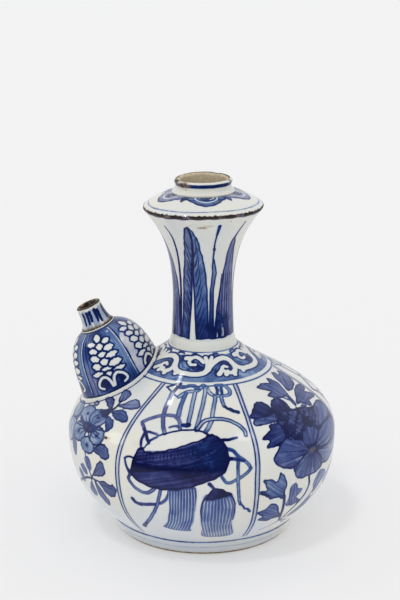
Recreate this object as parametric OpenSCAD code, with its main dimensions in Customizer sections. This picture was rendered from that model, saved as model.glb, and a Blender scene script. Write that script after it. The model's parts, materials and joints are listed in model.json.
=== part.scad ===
// Kendi: a round-bellied porcelain pouring vessel with a flanged mouth and a
// swelling spout. Each section is thrown or moulded by itself, and the sections
// are luted together with slip. The foot stands on z = 0 and the spout leans to -X.

/* [Foot ring] */
// Height of the foot ring
foot_h = 8; // [5:0.5:14]
// Outer radius of the foot ring at the ground
foot_r = 46.4; // [38:0.2:52]
// How much wider the foot ring is at its top than at the ground
foot_flare = 3.6; // [1:0.2:6]
// Width of the foot ring at the ground
foot_wall = 5; // [3.5:0.25:8]
// Bevel on both edges of the bare foot rim
foot_bevel = 0.9; // [0.4:0.1:1.4]

/* [Body] */
// Radius of the belly at its widest
belly_r = 71.2; // [62:0.2:84]
// Height of the lower bowl, from the foot joint to the belly seam
bowl_h = 44.4; // [36:0.2:56]
// Height of the shoulder, from the belly seam to its upper rim
shoulder_h = 47.6; // [42:0.2:58]
// Radius of the shoulder's upper rim
shoulder_rim_r = 18.2; // [17.5:0.1:22]
// Wall of the bowl and the shoulder
body_wall = 4; // [3:0.1:6]
// Thickness of the bowl's floor
floor_t = 4.5; // [3.5:0.1:8]
// Length over which the bowl leaves the foot at a slant
bowl_spring = 10.2; // [6:0.2:14]
// Length over which the wall stays upright below the belly seam
belly_pull_low = 26.5; // [16:0.5:34]
// Length over which the wall stays upright above the belly seam
belly_pull_high = 22.7; // [14:0.5:28]
// Outward sweep of the shoulder below its upper rim
sweep_out = 18.9; // [12:0.1:26]
// Downward sweep of the shoulder below its upper rim
sweep_down = 16.6; // [10:0.1:22]

/* [Neck] */
// Outer radius of the neck at its waist
neck_r = 15.8; // [14.5:0.1:18]
// How much wider the neck is at its root than at its waist
neck_root_flare = 0.6; // [0.2:0.1:1.6]
// Height of the waist above the neck's root
waist_h = 20; // [10:0.5:30]
// Height of the neck, from its root to the flange rim
neck_h = 69.3; // [55:0.3:85]
// Outer radius of the flange
flange_r = 31.1; // [27:0.1:38]
// Wall of the neck
neck_wall = 3.6; // [2.6:0.1:4.6]
// Length over which the neck stays upright above its waist
trumpet_pull = 33.4; // [20:0.2:42]
// Outward sweep of the trumpet below the flange rim
trumpet_out = 4.6; // [3:0.1:9]
// Downward sweep of the trumpet below the flange rim
trumpet_down = 7.4; // [4:0.1:12]

/* [Mouth] */
// Rise of the domed flange top, from its rim to the collar's seat
dome_h = 6.6; // [4:0.1:11]
// Inward sweep of the dome above its rim
dome_in = 4; // [2:0.1:6]
// Upward sweep of the dome above its rim
dome_up = 2.8; // [1:0.1:3.6]
// Length over which the dome runs nearly level outside the collar's seat
dome_crown = 4.2; // [2:0.1:6]
// Wall of the dome
dome_wall = 3.4; // [2.6:0.1:4.2]
// Radius of the mouth bore
mouth_r = 12; // [9:0.1:13.5]
// Width of the collar's rounded lip
lip_w = 3; // [2.4:0.1:4.4]
// Height of the collar
collar_h = 6.3; // [5.6:0.1:12]
// Depth of the hollow round the collar, under the lip
collar_waist = 0.9; // [0.2:0.1:1.4]
// How much wider the collar is at its foot than at its lip
collar_foot = 1.2; // [0.4:0.1:2]

/* [Spout] */
// How far below the shoulder rim the spout's axis meets the shoulder
spout_drop = 16.7; // [14:0.1:24]
// Elevation of the spout's axis above the horizontal, in degrees
spout_rise = 66; // [55:1:75]
// Radius of the bulb at its base
bulb_r = 23.6; // [18:0.2:26]
// Height of the bulb along its axis, from the shoulder to the nozzle joint
bulb_h = 28; // [22:0.5:36]
// How far the bulb's widest level lies below the point where its axis meets the shoulder
bulb_skirt = 6; // [2:0.5:9]
// Length over which the bulb's side stays nearly straight above its widest level
bulb_pull = 12; // [6:0.5:16]
// How far the bulb narrows over that length
bulb_taper = 2; // [0:0.1:3]
// Outward sweep of the bulb's crown below the nozzle joint
crown_out = 13.9; // [8:0.1:14.5]
// Downward sweep of the bulb's crown below the nozzle joint
crown_down = 4.4; // [2.6:0.1:7]
// Wall of the bulb
bulb_wall = 3.4; // [2.4:0.1:4.4]
// Radius of the pouring bore in the nozzle
nozzle_bore_r = 4.8; // [3:0.1:6]
// Wall of the nozzle at its lip
nozzle_wall = 1.8; // [1.2:0.1:2.6]
// How much wider the nozzle is at its root than at its lip
nozzle_flare = 2.4; // [1:0.1:3.5]
// Length of the nozzle
nozzle_h = 12.2; // [7:0.2:18]
// Radius of the hole pierced through the shoulder under the bulb
pour_r = 8; // [5:0.5:12]

/* [Luting slip] */
// Thickness of the slip between two flat rims
slip_t = 0.8; // [0.4:0.1:1.4]
// How far squeezed slip stands into the hollow at the belly seam
slip_ridge = 1.6; // [0.6:0.1:3]
// Height of the slip band round the neck's root
band_h = 4.6; // [3:0.2:8]
// How far the band stands proud of the neck's root
band_proud = 0.7; // [0.2:0.1:1]
// Width of the slip bead round the base of the bulb
bead_w = 1.7; // [1:0.1:3]
// Height of the slip bead on the shoulder
bead_h = 1.5; // [0.8:0.1:2.5]
// Gap left between curved faces that are luted together
lute_gap = 0.05; // [0.02:0.01:0.2]

/* [Hidden] */
$fn = 96;
long_steps = 20;
short_steps = 8;
least_step = 0.01;

porcelain = [0.90, 0.92, 0.91];
slip_white = [0.86, 0.87, 0.84];
cobalt_tint = [0.62, 0.68, 0.80];

// Levels of the joints, from the ground up
bowl_z = foot_h + slip_t;
belly_z = bowl_z + bowl_h;
shoulder_z = belly_z + slip_t;
shoulder_rim_z = shoulder_z + shoulder_h;
neck_z = shoulder_rim_z + band_h;
flange_z = neck_z + neck_h;
dome_z = flange_z + slip_t;
seat_z = dome_z + dome_h;
collar_z = seat_z + slip_t;
mouth_z = collar_z + collar_h;

// Radii that two neighbours share
foot_top_r = foot_r + foot_flare;
foot_inner_r = foot_r - foot_wall;
neck_root_r = neck_r + neck_root_flare;
neck_bore_r = neck_root_r - neck_wall;
lip_r = mouth_r + lip_w;
seat_r = lip_r + collar_foot;
nozzle_lip_r = nozzle_bore_r + nozzle_wall;
nozzle_root_r = nozzle_lip_r + nozzle_flare;

function bezier(p, n) = [
    for (i = [0 : n])
        let (t = i / n, u = 1 - t)
            pow(u, 3) * p[0] + 3 * u * u * t * p[1] + 3 * u * t * t * p[2] + pow(t, 3) * p[3]
];

function arc(centre, r, from, to, n) = [
    for (i = [0 : n])
        let (a = from + (to - from) * i / n)
            centre + r * [cos(a), sin(a)]
];

// A curve moved sideways by t, towards the axis where the curve climbs
function shifted(curve, t) = [
    for (i = [0 : len(curve) - 1])
        let (
            before = curve[max(i - 1, 0)],
            after = curve[min(i + 1, len(curve) - 1)],
            along = (after - before) / norm(after - before)
        )
            curve[i] + t * [-along.y, along.x]
];

// Radius of a climbing curve at height z
function radius_at(curve, z) = lookup(z, [for (p = curve) [p.y, p.x]]);

// The stretch of a climbing curve between two levels, with flat ends
function between(curve, low, high) = concat(
    [[radius_at(curve, low), low]],
    [for (p = curve) if (p.y > low + least_step && p.y < high - least_step) p],
    [[radius_at(curve, high), high]]
);

function reversed(list) = [for (i = [len(list) - 1 : -1 : 0]) list[i]];

// Outer curves of the thrown sections, as [radius, height]
bowl_curve = bezier([
    [foot_top_r, bowl_z],
    [foot_top_r + bowl_spring, bowl_z + bowl_spring],
    [belly_r, belly_z - belly_pull_low],
    [belly_r, belly_z]
], long_steps);

shoulder_curve = bezier([
    [belly_r, shoulder_z],
    [belly_r, shoulder_z + belly_pull_high],
    [shoulder_rim_r + sweep_out, shoulder_rim_z - sweep_down],
    [shoulder_rim_r, shoulder_rim_z]
], long_steps);

trumpet_curve = bezier([
    [neck_r, neck_z + waist_h],
    [neck_r, neck_z + waist_h + trumpet_pull],
    [flange_r - trumpet_out, flange_z - trumpet_down],
    [flange_r, flange_z]
], long_steps);

neck_curve = concat(
    bezier([
        [neck_root_r, neck_z],
        [neck_root_r - neck_root_flare / 2, neck_z + waist_h / 3],
        [neck_r, neck_z + waist_h * 2 / 3],
        [neck_r, neck_z + waist_h]
    ], short_steps),
    [for (i = [1 : long_steps]) trumpet_curve[i]]
);

dome_curve = bezier([
    [flange_r, dome_z],
    [flange_r - dome_in, dome_z + dome_up],
    [seat_r + dome_crown, seat_z],
    [seat_r, seat_z]
], short_steps);

// Curves of the spout, as [radius, distance along the spout's axis]
bulb_root = bulb_skirt + bulb_r / 2;
bulb_curve = concat(
    [[bulb_r, -bulb_root]],
    bezier([
        [bulb_r, -bulb_skirt],
        [bulb_r - bulb_taper, bulb_pull - bulb_skirt],
        [nozzle_root_r + crown_out, bulb_h - crown_down],
        [nozzle_root_r, bulb_h]
    ], long_steps)
);
bulb_inner = shifted(bulb_curve, bulb_wall);
crown_s = bulb_inner[len(bulb_inner) - 1].y;
nozzle_s = bulb_h + slip_t;
nozzle_tip_s = nozzle_s + nozzle_h;

// The whole outside of the belly, grown by a distance, as one solid
module belly_solid(grow) {
    outline = shifted(concat(bowl_curve, shoulder_curve), -grow);
    rotate_extrude()
        polygon(concat([[0, outline[0].y]], outline, [[0, outline[len(outline) - 1].y]]));
}

// The whole outside of the bulb, grown by a distance, as one solid on its own axis
module bulb_solid(grow) {
    outline = shifted(bulb_curve, -grow);
    rotate_extrude()
        polygon(concat([[0, outline[0].y]], outline, [[0, outline[len(outline) - 1].y]]));
}

// Stands its children on the shoulder, along the spout's axis
module on_spout_axis() {
    spout_z = shoulder_rim_z - spout_drop;
    translate([-radius_at(shoulder_curve, spout_z), 0, spout_z])
        rotate([0, spout_rise - 90, 0])
            children();
}

// A flat ring of slip between two rims, rounded by a bulge on its outer edge
module slip_ring(inner_r, outer_r, z) {
    edge_r = slip_t / 2;
    rotate_extrude()
        polygon(concat(
            [[inner_r, z]],
            arc([outer_r - edge_r, z + edge_r], edge_r, -90, 90, short_steps),
            [[inner_r, z + slip_t]]
        ));
}

// Foot
module foot_ring() {
    color(porcelain)
        rotate_extrude()
            polygon([
                [foot_inner_r + foot_bevel, 0],
                [foot_r - foot_bevel, 0],
                [foot_r, foot_bevel],
                [foot_top_r, foot_h],
                [foot_inner_r, foot_h],
                [foot_inner_r, foot_bevel]
            ]);
}

module foot_slip() {
    color(slip_white)
        slip_ring(foot_inner_r, foot_top_r, foot_h);
}

// Body
module lower_bowl() {
    floor_z = bowl_z + floor_t;
    color(porcelain)
        rotate_extrude()
            polygon(concat(
                [[0, bowl_z]],
                bowl_curve,
                reversed(between(shifted(bowl_curve, body_wall), floor_z, belly_z)),
                [[0, floor_z]]
            ));
}

module belly_slip() {
    inner_r = belly_r - body_wall;
    color(slip_white)
        rotate_extrude()
            polygon([
                [belly_r, belly_z],
                [belly_r, shoulder_z],
                [inner_r, shoulder_z],
                [inner_r - slip_ridge, belly_z + slip_t / 2],
                [inner_r, belly_z]
            ]);
}

module shoulder() {
    inner = between(shifted(shoulder_curve, body_wall), shoulder_z, shoulder_rim_z);
    pierce_depth = body_wall + 2 * pour_r;
    color(porcelain)
        difference() {
            rotate_extrude()
                polygon(concat(shoulder_curve, reversed(inner)));
            on_spout_axis()
                cylinder(r = pour_r, h = 2 * pierce_depth, center = true);
        }
}

// Neck
module neck_band() {
    band_r = neck_root_r + band_proud;
    round_r = band_h / 4;
    color(slip_white)
        rotate_extrude()
            polygon(concat(
                [[neck_bore_r, shoulder_rim_z]],
                arc([band_r - round_r, shoulder_rim_z + round_r], round_r, -90, 0, short_steps),
                arc([band_r - round_r, neck_z - round_r], round_r, 0, 90, short_steps),
                [[neck_bore_r, neck_z]]
            ));
}

module neck() {
    inner = between(shifted(neck_curve, neck_wall), neck_z, flange_z);
    color(cobalt_tint)
        rotate_extrude()
            polygon(concat(neck_curve, reversed(inner)));
}

module flange_slip() {
    color(slip_white)
        slip_ring(radius_at(shifted(neck_curve, neck_wall), flange_z), flange_r, flange_z);
}

// Mouth
module mouth_dome() {
    inner = between(shifted(dome_curve, dome_wall), dome_z, seat_z);
    under = [for (p = inner) if (p.y < seat_z - dome_wall) p];
    color(porcelain)
        rotate_extrude()
            polygon(concat(
                dome_curve,
                [[mouth_r, seat_z], [mouth_r, seat_z - dome_wall]],
                reversed(under)
            ));
}

module collar_slip() {
    color(slip_white)
        slip_ring(mouth_r, seat_r, seat_z);
}

module mouth_collar() {
    lip_round = lip_w / 2;
    lip_z = mouth_z - lip_round;
    side = bezier([
        [seat_r, collar_z],
        [lip_r - collar_waist, collar_z + (lip_z - collar_z) / 3],
        [lip_r - collar_waist, collar_z + (lip_z - collar_z) * 2 / 3],
        [lip_r, lip_z]
    ], short_steps);
    color(porcelain)
        rotate_extrude()
            polygon(concat(
                side,
                arc([lip_r - lip_round, lip_z], lip_round, 0, 180, 2 * short_steps),
                [[mouth_r, collar_z]]
            ));
}

// Spout
module spout_bead() {
    color(slip_white)
        difference() {
            intersection() {
                on_spout_axis() bulb_solid(bead_w);
                belly_solid(bead_h);
            }
            on_spout_axis() bulb_solid(lute_gap);
            belly_solid(lute_gap);
        }
}

module spout_bulb() {
    inner = [for (p = bulb_inner) if (p.x > nozzle_bore_r && p.y < crown_s) p];
    color(cobalt_tint)
        difference() {
            on_spout_axis()
                rotate_extrude()
                    polygon(concat(
                        bulb_curve,
                        [[nozzle_bore_r, bulb_h], [nozzle_bore_r, crown_s]],
                        reversed(inner)
                    ));
            belly_solid(lute_gap);
        }
}

module nozzle_slip() {
    color(slip_white)
        on_spout_axis()
            slip_ring(nozzle_bore_r, nozzle_root_r, bulb_h);
}

module spout_nozzle() {
    lip_round = nozzle_wall / 2;
    lip_s = nozzle_tip_s - lip_round;
    side = bezier([
        [nozzle_root_r, nozzle_s],
        [nozzle_lip_r + nozzle_flare / 4, nozzle_s + nozzle_h / 6],
        [nozzle_lip_r, nozzle_s + nozzle_h / 2],
        [nozzle_lip_r, lip_s]
    ], short_steps);
    color(porcelain)
        on_spout_axis()
            rotate_extrude()
                polygon(concat(
                    side,
                    arc([nozzle_lip_r - lip_round, lip_s], lip_round, 0, 180, short_steps),
                    [[nozzle_bore_r, nozzle_s]]
                ));
}

foot_ring();
foot_slip();
lower_bowl();
belly_slip();
shoulder();
neck_band();
neck();
flange_slip();
mouth_dome();
collar_slip();
mouth_collar();
spout_bead();
spout_bulb();
nozzle_slip();
spout_nozzle();
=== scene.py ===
"""Looks of a blue-and-white kendi: each luted section as a glazed, painted mesh around its solid."""
import json
import math

import bpy
import numpy as np
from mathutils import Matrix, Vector


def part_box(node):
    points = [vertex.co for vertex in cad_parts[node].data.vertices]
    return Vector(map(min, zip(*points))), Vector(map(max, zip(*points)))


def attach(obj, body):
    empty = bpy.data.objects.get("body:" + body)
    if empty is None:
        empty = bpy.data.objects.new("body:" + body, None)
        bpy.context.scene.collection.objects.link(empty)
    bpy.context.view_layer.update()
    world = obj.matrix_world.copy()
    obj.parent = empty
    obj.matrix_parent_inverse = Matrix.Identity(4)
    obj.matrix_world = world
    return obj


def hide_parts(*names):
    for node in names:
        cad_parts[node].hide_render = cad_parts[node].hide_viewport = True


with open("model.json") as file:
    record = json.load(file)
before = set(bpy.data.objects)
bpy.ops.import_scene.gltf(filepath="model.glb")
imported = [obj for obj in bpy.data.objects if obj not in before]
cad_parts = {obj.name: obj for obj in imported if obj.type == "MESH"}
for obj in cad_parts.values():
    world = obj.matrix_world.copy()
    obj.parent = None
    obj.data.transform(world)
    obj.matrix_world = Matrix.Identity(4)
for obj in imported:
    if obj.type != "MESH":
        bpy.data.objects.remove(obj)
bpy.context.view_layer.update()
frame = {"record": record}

# Sizes are in millimetres until a mesh is made
MM = 0.001
LOW = 0
HIGH = 1


def level(node, end):
    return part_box(node)[end].z / MM


def widest(node):
    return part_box(node)[HIGH].y / MM


def mount(name):
    return next(m for m in frame["record"]["mounts"] if m["name"] == name)


# Levels and radii that the solids give
FOOT_TOP = level("foot_ring", HIGH)
FOOT_TOP_R = widest("foot_ring")
BOWL_Z = level("lower_bowl", LOW)
BELLY_Z = level("lower_bowl", HIGH)
BELLY_R = widest("lower_bowl")
SHOULDER_Z = level("shoulder", LOW)
RIM_Z = level("shoulder", HIGH)
BAND_R = widest("neck_band")
NECK_Z = level("neck", LOW)
FLANGE_Z = level("neck", HIGH)
FLANGE_R = widest("neck")
DOME_Z = level("mouth_dome", LOW)
SEAT_Z = level("mouth_dome", HIGH)
SEAT_R = widest("collar_slip")
COLLAR_Z = level("mouth_collar", LOW)
MOUTH_Z = level("mouth_collar", HIGH)
MOUTH_R = mount("mouth_bore")["dims"]["r_mm"]
NOZZLE_BORE_R = mount("spout_bore")["dims"]["r_mm"]
SLIP_T = BOWL_Z - FOOT_TOP

# Shape of the sections, as in the part's source
FOOT_FLARE = 3.6
FOOT_WALL = 5.0
FOOT_BEVEL = 0.9
BOWL_SPRING = 10.2
BELLY_PULL_LOW = 26.5
BELLY_PULL_HIGH = 22.7
RIM_R = 18.2
SWEEP_OUT = 18.9
SWEEP_DOWN = 16.6
BODY_WALL = 4.0
FLOOR_T = 4.5
SLIP_RIDGE = 1.6
NECK_ROOT_R = 16.4
NECK_R = 15.8
WAIST_H = 20.0
NECK_WALL = 3.6
TRUMPET_PULL = 33.4
TRUMPET_OUT = 4.6
TRUMPET_DOWN = 7.4
DOME_IN = 4.0
DOME_UP = 2.8
DOME_CROWN = 4.2
DOME_WALL = 3.4
LIP_W = 3.0
COLLAR_WAIST = 0.9
BULB_R = 23.6
BULB_H = 28.0
BULB_SKIRT = 6.0
BULB_PULL = 12.0
BULB_TAPER = 2.0
CROWN_OUT = 13.9
CROWN_DOWN = 4.4
BULB_WALL = 3.4
NOZZLE_WALL = 1.8
NOZZLE_FLARE = 2.4
NOZZLE_H = 12.2
BEAD_R = 1.0
SPOUT_BORE_S = 31.0

# Fineness of the meshes: mm between rows, points round a ring and steps of a curve
ROW = 0.53
BULB_ROW = 0.42
DOME_ROW = 0.35
FINE_ROW = 0.3
BODY_COLUMNS = 832
NECK_COLUMNS = 384
NOZZLE_COLUMNS = 192
INNER_COLUMNS = 104
CURVE_STEPS = 160
# Inner faces keep one point in so many, and the body all its columns above this share of the belly's radius
INNER_EVERY = 8
FINE_FROM = 0.56
# Edges over this angle stay sharp
SHARP = math.radians(50)

# Hand-made unevenness: the flange dips to the left and at both sides, and the sections sit off centre
FLANGE_TILT = math.radians(0.8)
FLANGE_SADDLE = 0.6
OFF_CENTRE = ((0, 0.4), (50, -0.6), (100, 0.0), (190, 0.2))

# Paint layers and what a bare point has: mm from the edges of wash and line, darkness and hue of the wash,
# brush streaks, strands and how deep they bite, pressure of the brush, bare clay and rust
FAR = 9.0
LAYERS = {"wash": FAR, "line": FAR, "tone": 0.0, "hue": 0.0, "comb": 0.0, "strand": 0.0, "bite": 0.0,
          "force": 1.0, "bare": 0.0, "rust": 0.0}

# How far past an edge the distances are kept, and how far each of the other layers goes on
REACH = 1.6
PRESSED_PAST = 0.4
STREAKED_PAST = 0.8
STRANDED_PAST = 0.6
TINTED_PAST = 0.5

# The shake of a hand: mm in lines and in shapes, its pace across and up, and the lag between the two
LINE_SHAKE = 0.06
SHAPE_SHAKE = 0.17
SHAKE_PACE = (0.8, 1.1)
SHAKE_LAG = 2
SHAKE_START = 7

# Brushes: mm of a streak, streaks round a flower's heart, paler wash of a ribbon, fuller vine, usual hue
STREAK = 1.3
HEART_STREAKS = 34
RIBBON_WASH = 0.75
VINE_FULLER = 0.3
VIOLET = 0.35
# Tassels are paler at the foot and darker at the head; veins bend by degrees and mm, and end thin
TASSEL_FOOT = 0.86
TASSEL_HEAD = 1.2
STRAND_BITE = 0.62
VEIN_BEND = (0.4, 0.6)
VEIN_TIP = 0.25
# Steps of a scatter that never falls into rows
SCATTER = (0.7549, 0.5698)
PANELS = 6
PANEL = 360 / PANELS


# Curves

def wrapped(angle):
    """The same angle, from -180 to 180 degrees."""
    return (angle + 180) % 360 - 180


def wave(angle, count, shift=0):
    """A wave that goes that many times round the pot."""
    return np.sin(np.radians(count * angle + shift))


def bell(value, half):
    """1 at nought, and next to nothing at twice the half width."""
    return np.exp(-(value / half) ** 2)


def bezier(a, b, c, d, steps=CURVE_STEPS):
    t = np.linspace(0, 1, steps + 1)[:, None]
    p = np.array([a, b, c, d], float)
    return (1 - t) ** 3 * p[0] + 3 * (1 - t) ** 2 * t * p[1] + 3 * (1 - t) * t * t * p[2] + t ** 3 * p[3]


def arc(centre, radius, start, end, steps):
    a = np.radians(np.linspace(start, end, steps + 1))
    return np.array(centre, float) + radius * np.stack([np.cos(a), np.sin(a)], 1)


def smooth(points, closed=False, steps=6):
    """A Catmull-Rom curve through the points."""
    p = np.array(points, float)
    if closed:
        p = np.vstack([p[-1], p, p[0], p[1]])
    else:
        p = np.vstack([2 * p[0] - p[1], p, 2 * p[-1] - p[-2]])
    t = (np.arange(steps) / steps)[None, :, None]
    a, b, c, d = (p[i:len(p) - 3 + i][:, None] for i in range(4))
    cubic = 2 * b + (c - a) * t + (2 * a - 5 * b + 4 * c - d) * t ** 2 + (3 * b - a - 3 * c + d) * t ** 3
    curve = cubic.reshape(-1, 2) / 2
    last = curve[:1] if closed else p[-2:-1]
    return np.vstack([curve, last])


class Outline:
    """A section's outer curve, as radius and height by the distance along it."""

    def __init__(self, *stretches):
        self.points = np.vstack(stretches)
        steps = np.linalg.norm(np.diff(self.points, axis=0), axis=1)
        self.arcs = np.concatenate([[0], np.cumsum(steps)])
        self.length = self.arcs[-1]

    def at(self, s):
        return np.interp(s, self.arcs, self.points[:, 0]), np.interp(s, self.arcs, self.points[:, 1])

    def arc_at(self, z):
        return np.interp(z, self.points[:, 1], self.arcs)

    def radius_at(self, z):
        return np.interp(z, self.points[:, 1], self.points[:, 0])

    def moved_in(self, t):
        """The same curve, moved towards the axis by t."""
        along = np.gradient(self.points, axis=0)
        along /= np.maximum(np.linalg.norm(along, axis=1), 1e-9)[:, None]
        return self.points + t * np.stack([-along[:, 1], along[:, 0]], 1)


foot_r = FOOT_TOP_R - FOOT_FLARE
nozzle_lip_r = NOZZLE_BORE_R + NOZZLE_WALL
nozzle_root_r = nozzle_lip_r + NOZZLE_FLARE
nozzle_s = BULB_H + SLIP_T
nozzle_tip_s = nozzle_s + NOZZLE_H
lip_r = MOUTH_R + LIP_W

body = Outline(
    [[foot_r, FOOT_BEVEL], [FOOT_TOP_R, FOOT_TOP]],
    bezier([FOOT_TOP_R, BOWL_Z], [FOOT_TOP_R + BOWL_SPRING, BOWL_Z + BOWL_SPRING],
           [BELLY_R, BELLY_Z - BELLY_PULL_LOW], [BELLY_R, BELLY_Z]),
    bezier([BELLY_R, SHOULDER_Z], [BELLY_R, SHOULDER_Z + BELLY_PULL_HIGH],
           [RIM_R + SWEEP_OUT, RIM_Z - SWEEP_DOWN], [RIM_R, RIM_Z]),
)
neck = Outline(
    bezier([NECK_ROOT_R, NECK_Z], [(NECK_ROOT_R + NECK_R) / 2, NECK_Z + WAIST_H / 3],
           [NECK_R, NECK_Z + WAIST_H * 2 / 3], [NECK_R, NECK_Z + WAIST_H]),
    bezier([NECK_R, NECK_Z + WAIST_H], [NECK_R, NECK_Z + WAIST_H + TRUMPET_PULL],
           [FLANGE_R - TRUMPET_OUT, FLANGE_Z - TRUMPET_DOWN], [FLANGE_R, FLANGE_Z])[1:],
)
dome = Outline(bezier([FLANGE_R, DOME_Z], [FLANGE_R - DOME_IN, DOME_Z + DOME_UP],
                      [SEAT_R + DOME_CROWN, SEAT_Z], [SEAT_R, SEAT_Z]))
bulb = Outline(
    [[BULB_R, -2 * BULB_SKIRT]],
    bezier([BULB_R, -BULB_SKIRT], [BULB_R - BULB_TAPER, BULB_PULL - BULB_SKIRT],
           [nozzle_root_r + CROWN_OUT, BULB_H - CROWN_DOWN], [nozzle_root_r, BULB_H]),
)
nozzle = Outline(bezier([nozzle_root_r, nozzle_s],
                        [nozzle_lip_r + NOZZLE_FLARE / 4, nozzle_s + NOZZLE_H / 6],
                        [nozzle_lip_r, nozzle_s + NOZZLE_H / 2],
                        [nozzle_lip_r, nozzle_tip_s - NOZZLE_WALL / 2]))


# Painting on an unrolled surface: degrees around, mm up along the outline

class Canvas:
    """Brushwork on the points of a turned surface, kept as distances from the edges of the paint."""

    def __init__(self, around, up, radius):
        self.around = around
        self.up = up
        self.radius = radius
        self.all = np.arange(len(around))
        for name, blank in LAYERS.items():
            setattr(self, name, np.full(len(around), blank))
        self.violet = VIOLET
        self.pressed = 1.0
        self.turn = 0.0

    def path(self, points, closed=False):
        """A smooth curve through the points, turned to its place, with the shake of a hand."""
        placed = np.array(points, float)
        placed[:, 0] += self.turn
        curve = smooth(placed, closed)
        along = np.arange(len(curve)) + SHAKE_START * placed[0, 0]
        shake = np.stack([np.sin(SHAKE_PACE[0] * along), np.sin(SHAKE_PACE[1] * along + SHAKE_LAG)], 1)
        shake *= SHAPE_SHAKE if closed else LINE_SHAKE
        shake[:, 0] *= np.degrees(1 / self.radius.max())
        if closed:
            shake[-1] = shake[0]
        return curve + shake

    def near(self, path, reach):
        """The points within reach of a path, and their angles counted from near its middle."""
        middle = (path[:, 0].min() + path[:, 0].max()) / 2
        half = (path[:, 0].max() - path[:, 0].min()) / 2
        away = wrapped(self.around - middle)
        beside = np.abs(away) < half + np.degrees(reach / self.radius)
        above = (self.up > path[:, 1].min() - reach) & (self.up < path[:, 1].max() + reach)
        pick = np.nonzero(beside & above)[0]
        return pick, middle + away[pick]

    def gap(self, path, pick, angle):
        """Distance from each picked point to the path, and how far along the path that is."""
        scale = np.radians(self.radius[pick])[:, None]
        x = (path[:-1, 0] - angle[:, None]) * scale
        y = path[:-1, 1] - self.up[pick][:, None]
        dx = np.diff(path[:, 0]) * scale
        dy = np.diff(path[:, 1]) + 0 * scale
        t = np.clip(-(x * dx + y * dy) / np.maximum(dx * dx + dy * dy, 1e-12), 0, 1)
        gaps = np.hypot(x + t * dx, y + t * dy)
        best = gaps.argmin(1)
        row = np.arange(len(pick))
        return gaps[row, best], (best + t[row, best]) / (len(path) - 1)

    def ink(self, pick, gap, tone=None):
        """Lays dark line where tone is None, and else a wash of that darkness."""
        if tone is None:
            self.line[pick] = np.minimum(self.line[pick], gap)
            self.hue[pick[gap < 0]] = self.violet
            self.force[pick[gap < PRESSED_PAST]] = self.pressed
            return
        take = (gap < 0) | (gap < self.wash[pick])
        self.tone[pick[take]] = np.broadcast_to(tone, len(pick))[take]
        self.hue[pick[take]] = self.violet
        self.wash[pick] = np.minimum(self.wash[pick], gap)

    def clear(self, pick, gap):
        self.wash[pick] = np.maximum(self.wash[pick], -gap)
        self.line[pick] = np.maximum(self.line[pick], -gap)

    def trace(self, points, width, end=None):
        """The points near a stroke that goes from one width to another, and their gaps from its edge."""
        end = width if end is None else end
        path = self.path(points)
        pick, angle = self.near(path, max(width, end) + REACH)
        gap, share = self.gap(path, pick, angle)
        return pick, gap - (width + (end - width) * share) / 2

    def stroke(self, points, width, end=None, tone=None):
        self.ink(*self.trace(points, width, end), tone)

    def ribbon(self, points, width, end=None, tone=0.2, edge=0.6):
        """A washed band between two darker edges."""
        pick, gap = self.trace(points, width, end)
        self.clear(pick, gap)
        self.ink(pick, gap, RIBBON_WASH * tone)
        self.ink(pick, np.abs(gap) - edge / 2)
        self.comb[pick[gap < 0]] = 0
        self.bite[pick[gap < 0]] = 0

    def scrape(self, points, width, end=None):
        """A reserved white stroke."""
        self.clear(*self.trace(points, width, end))

    def shape(self, points):
        """Signed distance to a closed curve, negative inside, and the height within it from 0 to 1."""
        path = self.path(points, closed=True)
        pick, angle = self.near(path, REACH)
        gap, _ = self.gap(path, pick, angle)
        a, b = path[:-1], path[1:]
        up = self.up[pick][:, None]
        rise = np.where(b[:, 1] == a[:, 1], 1e-9, b[:, 1] - a[:, 1])
        before = angle[:, None] < a[:, 0] + (up - a[:, 1]) / rise * (b[:, 0] - a[:, 0])
        crossing = ((a[:, 1] > up) != (b[:, 1] > up)) & before
        height = (self.up[pick] - path[:, 1].min()) / np.ptp(path[:, 1])
        return pick, np.where(crossing.sum(1) % 2, -gap, gap), np.clip(height, 0, 1)

    def fill(self, points, tone, top=None, edge=0.8, heart=None, grain=None, streaked=True):
        """A washed shape with a dark outline; the wash goes from tone at its foot to top at its head.

        Its brush streaks run along the shape, along grain, or out from heart where there is one."""
        pick, gap, height = self.shape(points)
        self.clear(pick, gap)
        self.ink(pick, gap, tone + ((tone if top is None else top) - tone) * height)
        if edge:
            self.ink(pick, np.abs(gap + edge / 4) - edge / 2)
        corners = np.array(points, float)
        middle = corners.mean(0) if heart is None else np.array(heart, float)
        scale = np.radians(self.radius[pick].mean()) if len(pick) else 1.0
        x = wrapped(self.around[pick] - self.turn - middle[0]) * scale
        y = self.up[pick] - middle[1]
        if heart is None:
            spread = (corners - middle) * (scale, 1.0)
            long_way = np.linalg.svd(spread, full_matrices=False)[2][0] if grain is None else grain
            across = (x * long_way[1] - y * long_way[0]) / STREAK
        else:
            across = np.arctan2(y, x) * HEART_STREAKS / (2 * math.pi)
        inside = gap < STREAKED_PAST
        self.comb[pick[inside]] = across[inside] + corners[0, 0] if streaked else 0
        self.bite[pick[inside]] = 0

    def spot(self, angle, up, half_angle, half_height):
        """1 at one place on the surface, fading away round it."""
        return bell(wrapped(self.around - angle), half_angle) * bell(self.up - up, half_height)

    def tint(self, centre, half_angle, half_height, tone, violet):
        """Shifts the wash softly towards another darkness and hue round a centre."""
        share = self.spot(self.turn + centre[0], centre[1], half_angle, half_height)
        share *= self.wash < TINTED_PAST
        self.tone += share * (tone - self.tone)
        self.hue += share * (violet - self.hue)

    def stains(self, *spots):
        """Rust spots: where on the pot, half sizes in degrees and mm, and how brown."""
        for centre, half_angle, half_height, amount in spots:
            self.rust = np.maximum(self.rust, amount * self.spot(*centre, half_angle, half_height))

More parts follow.
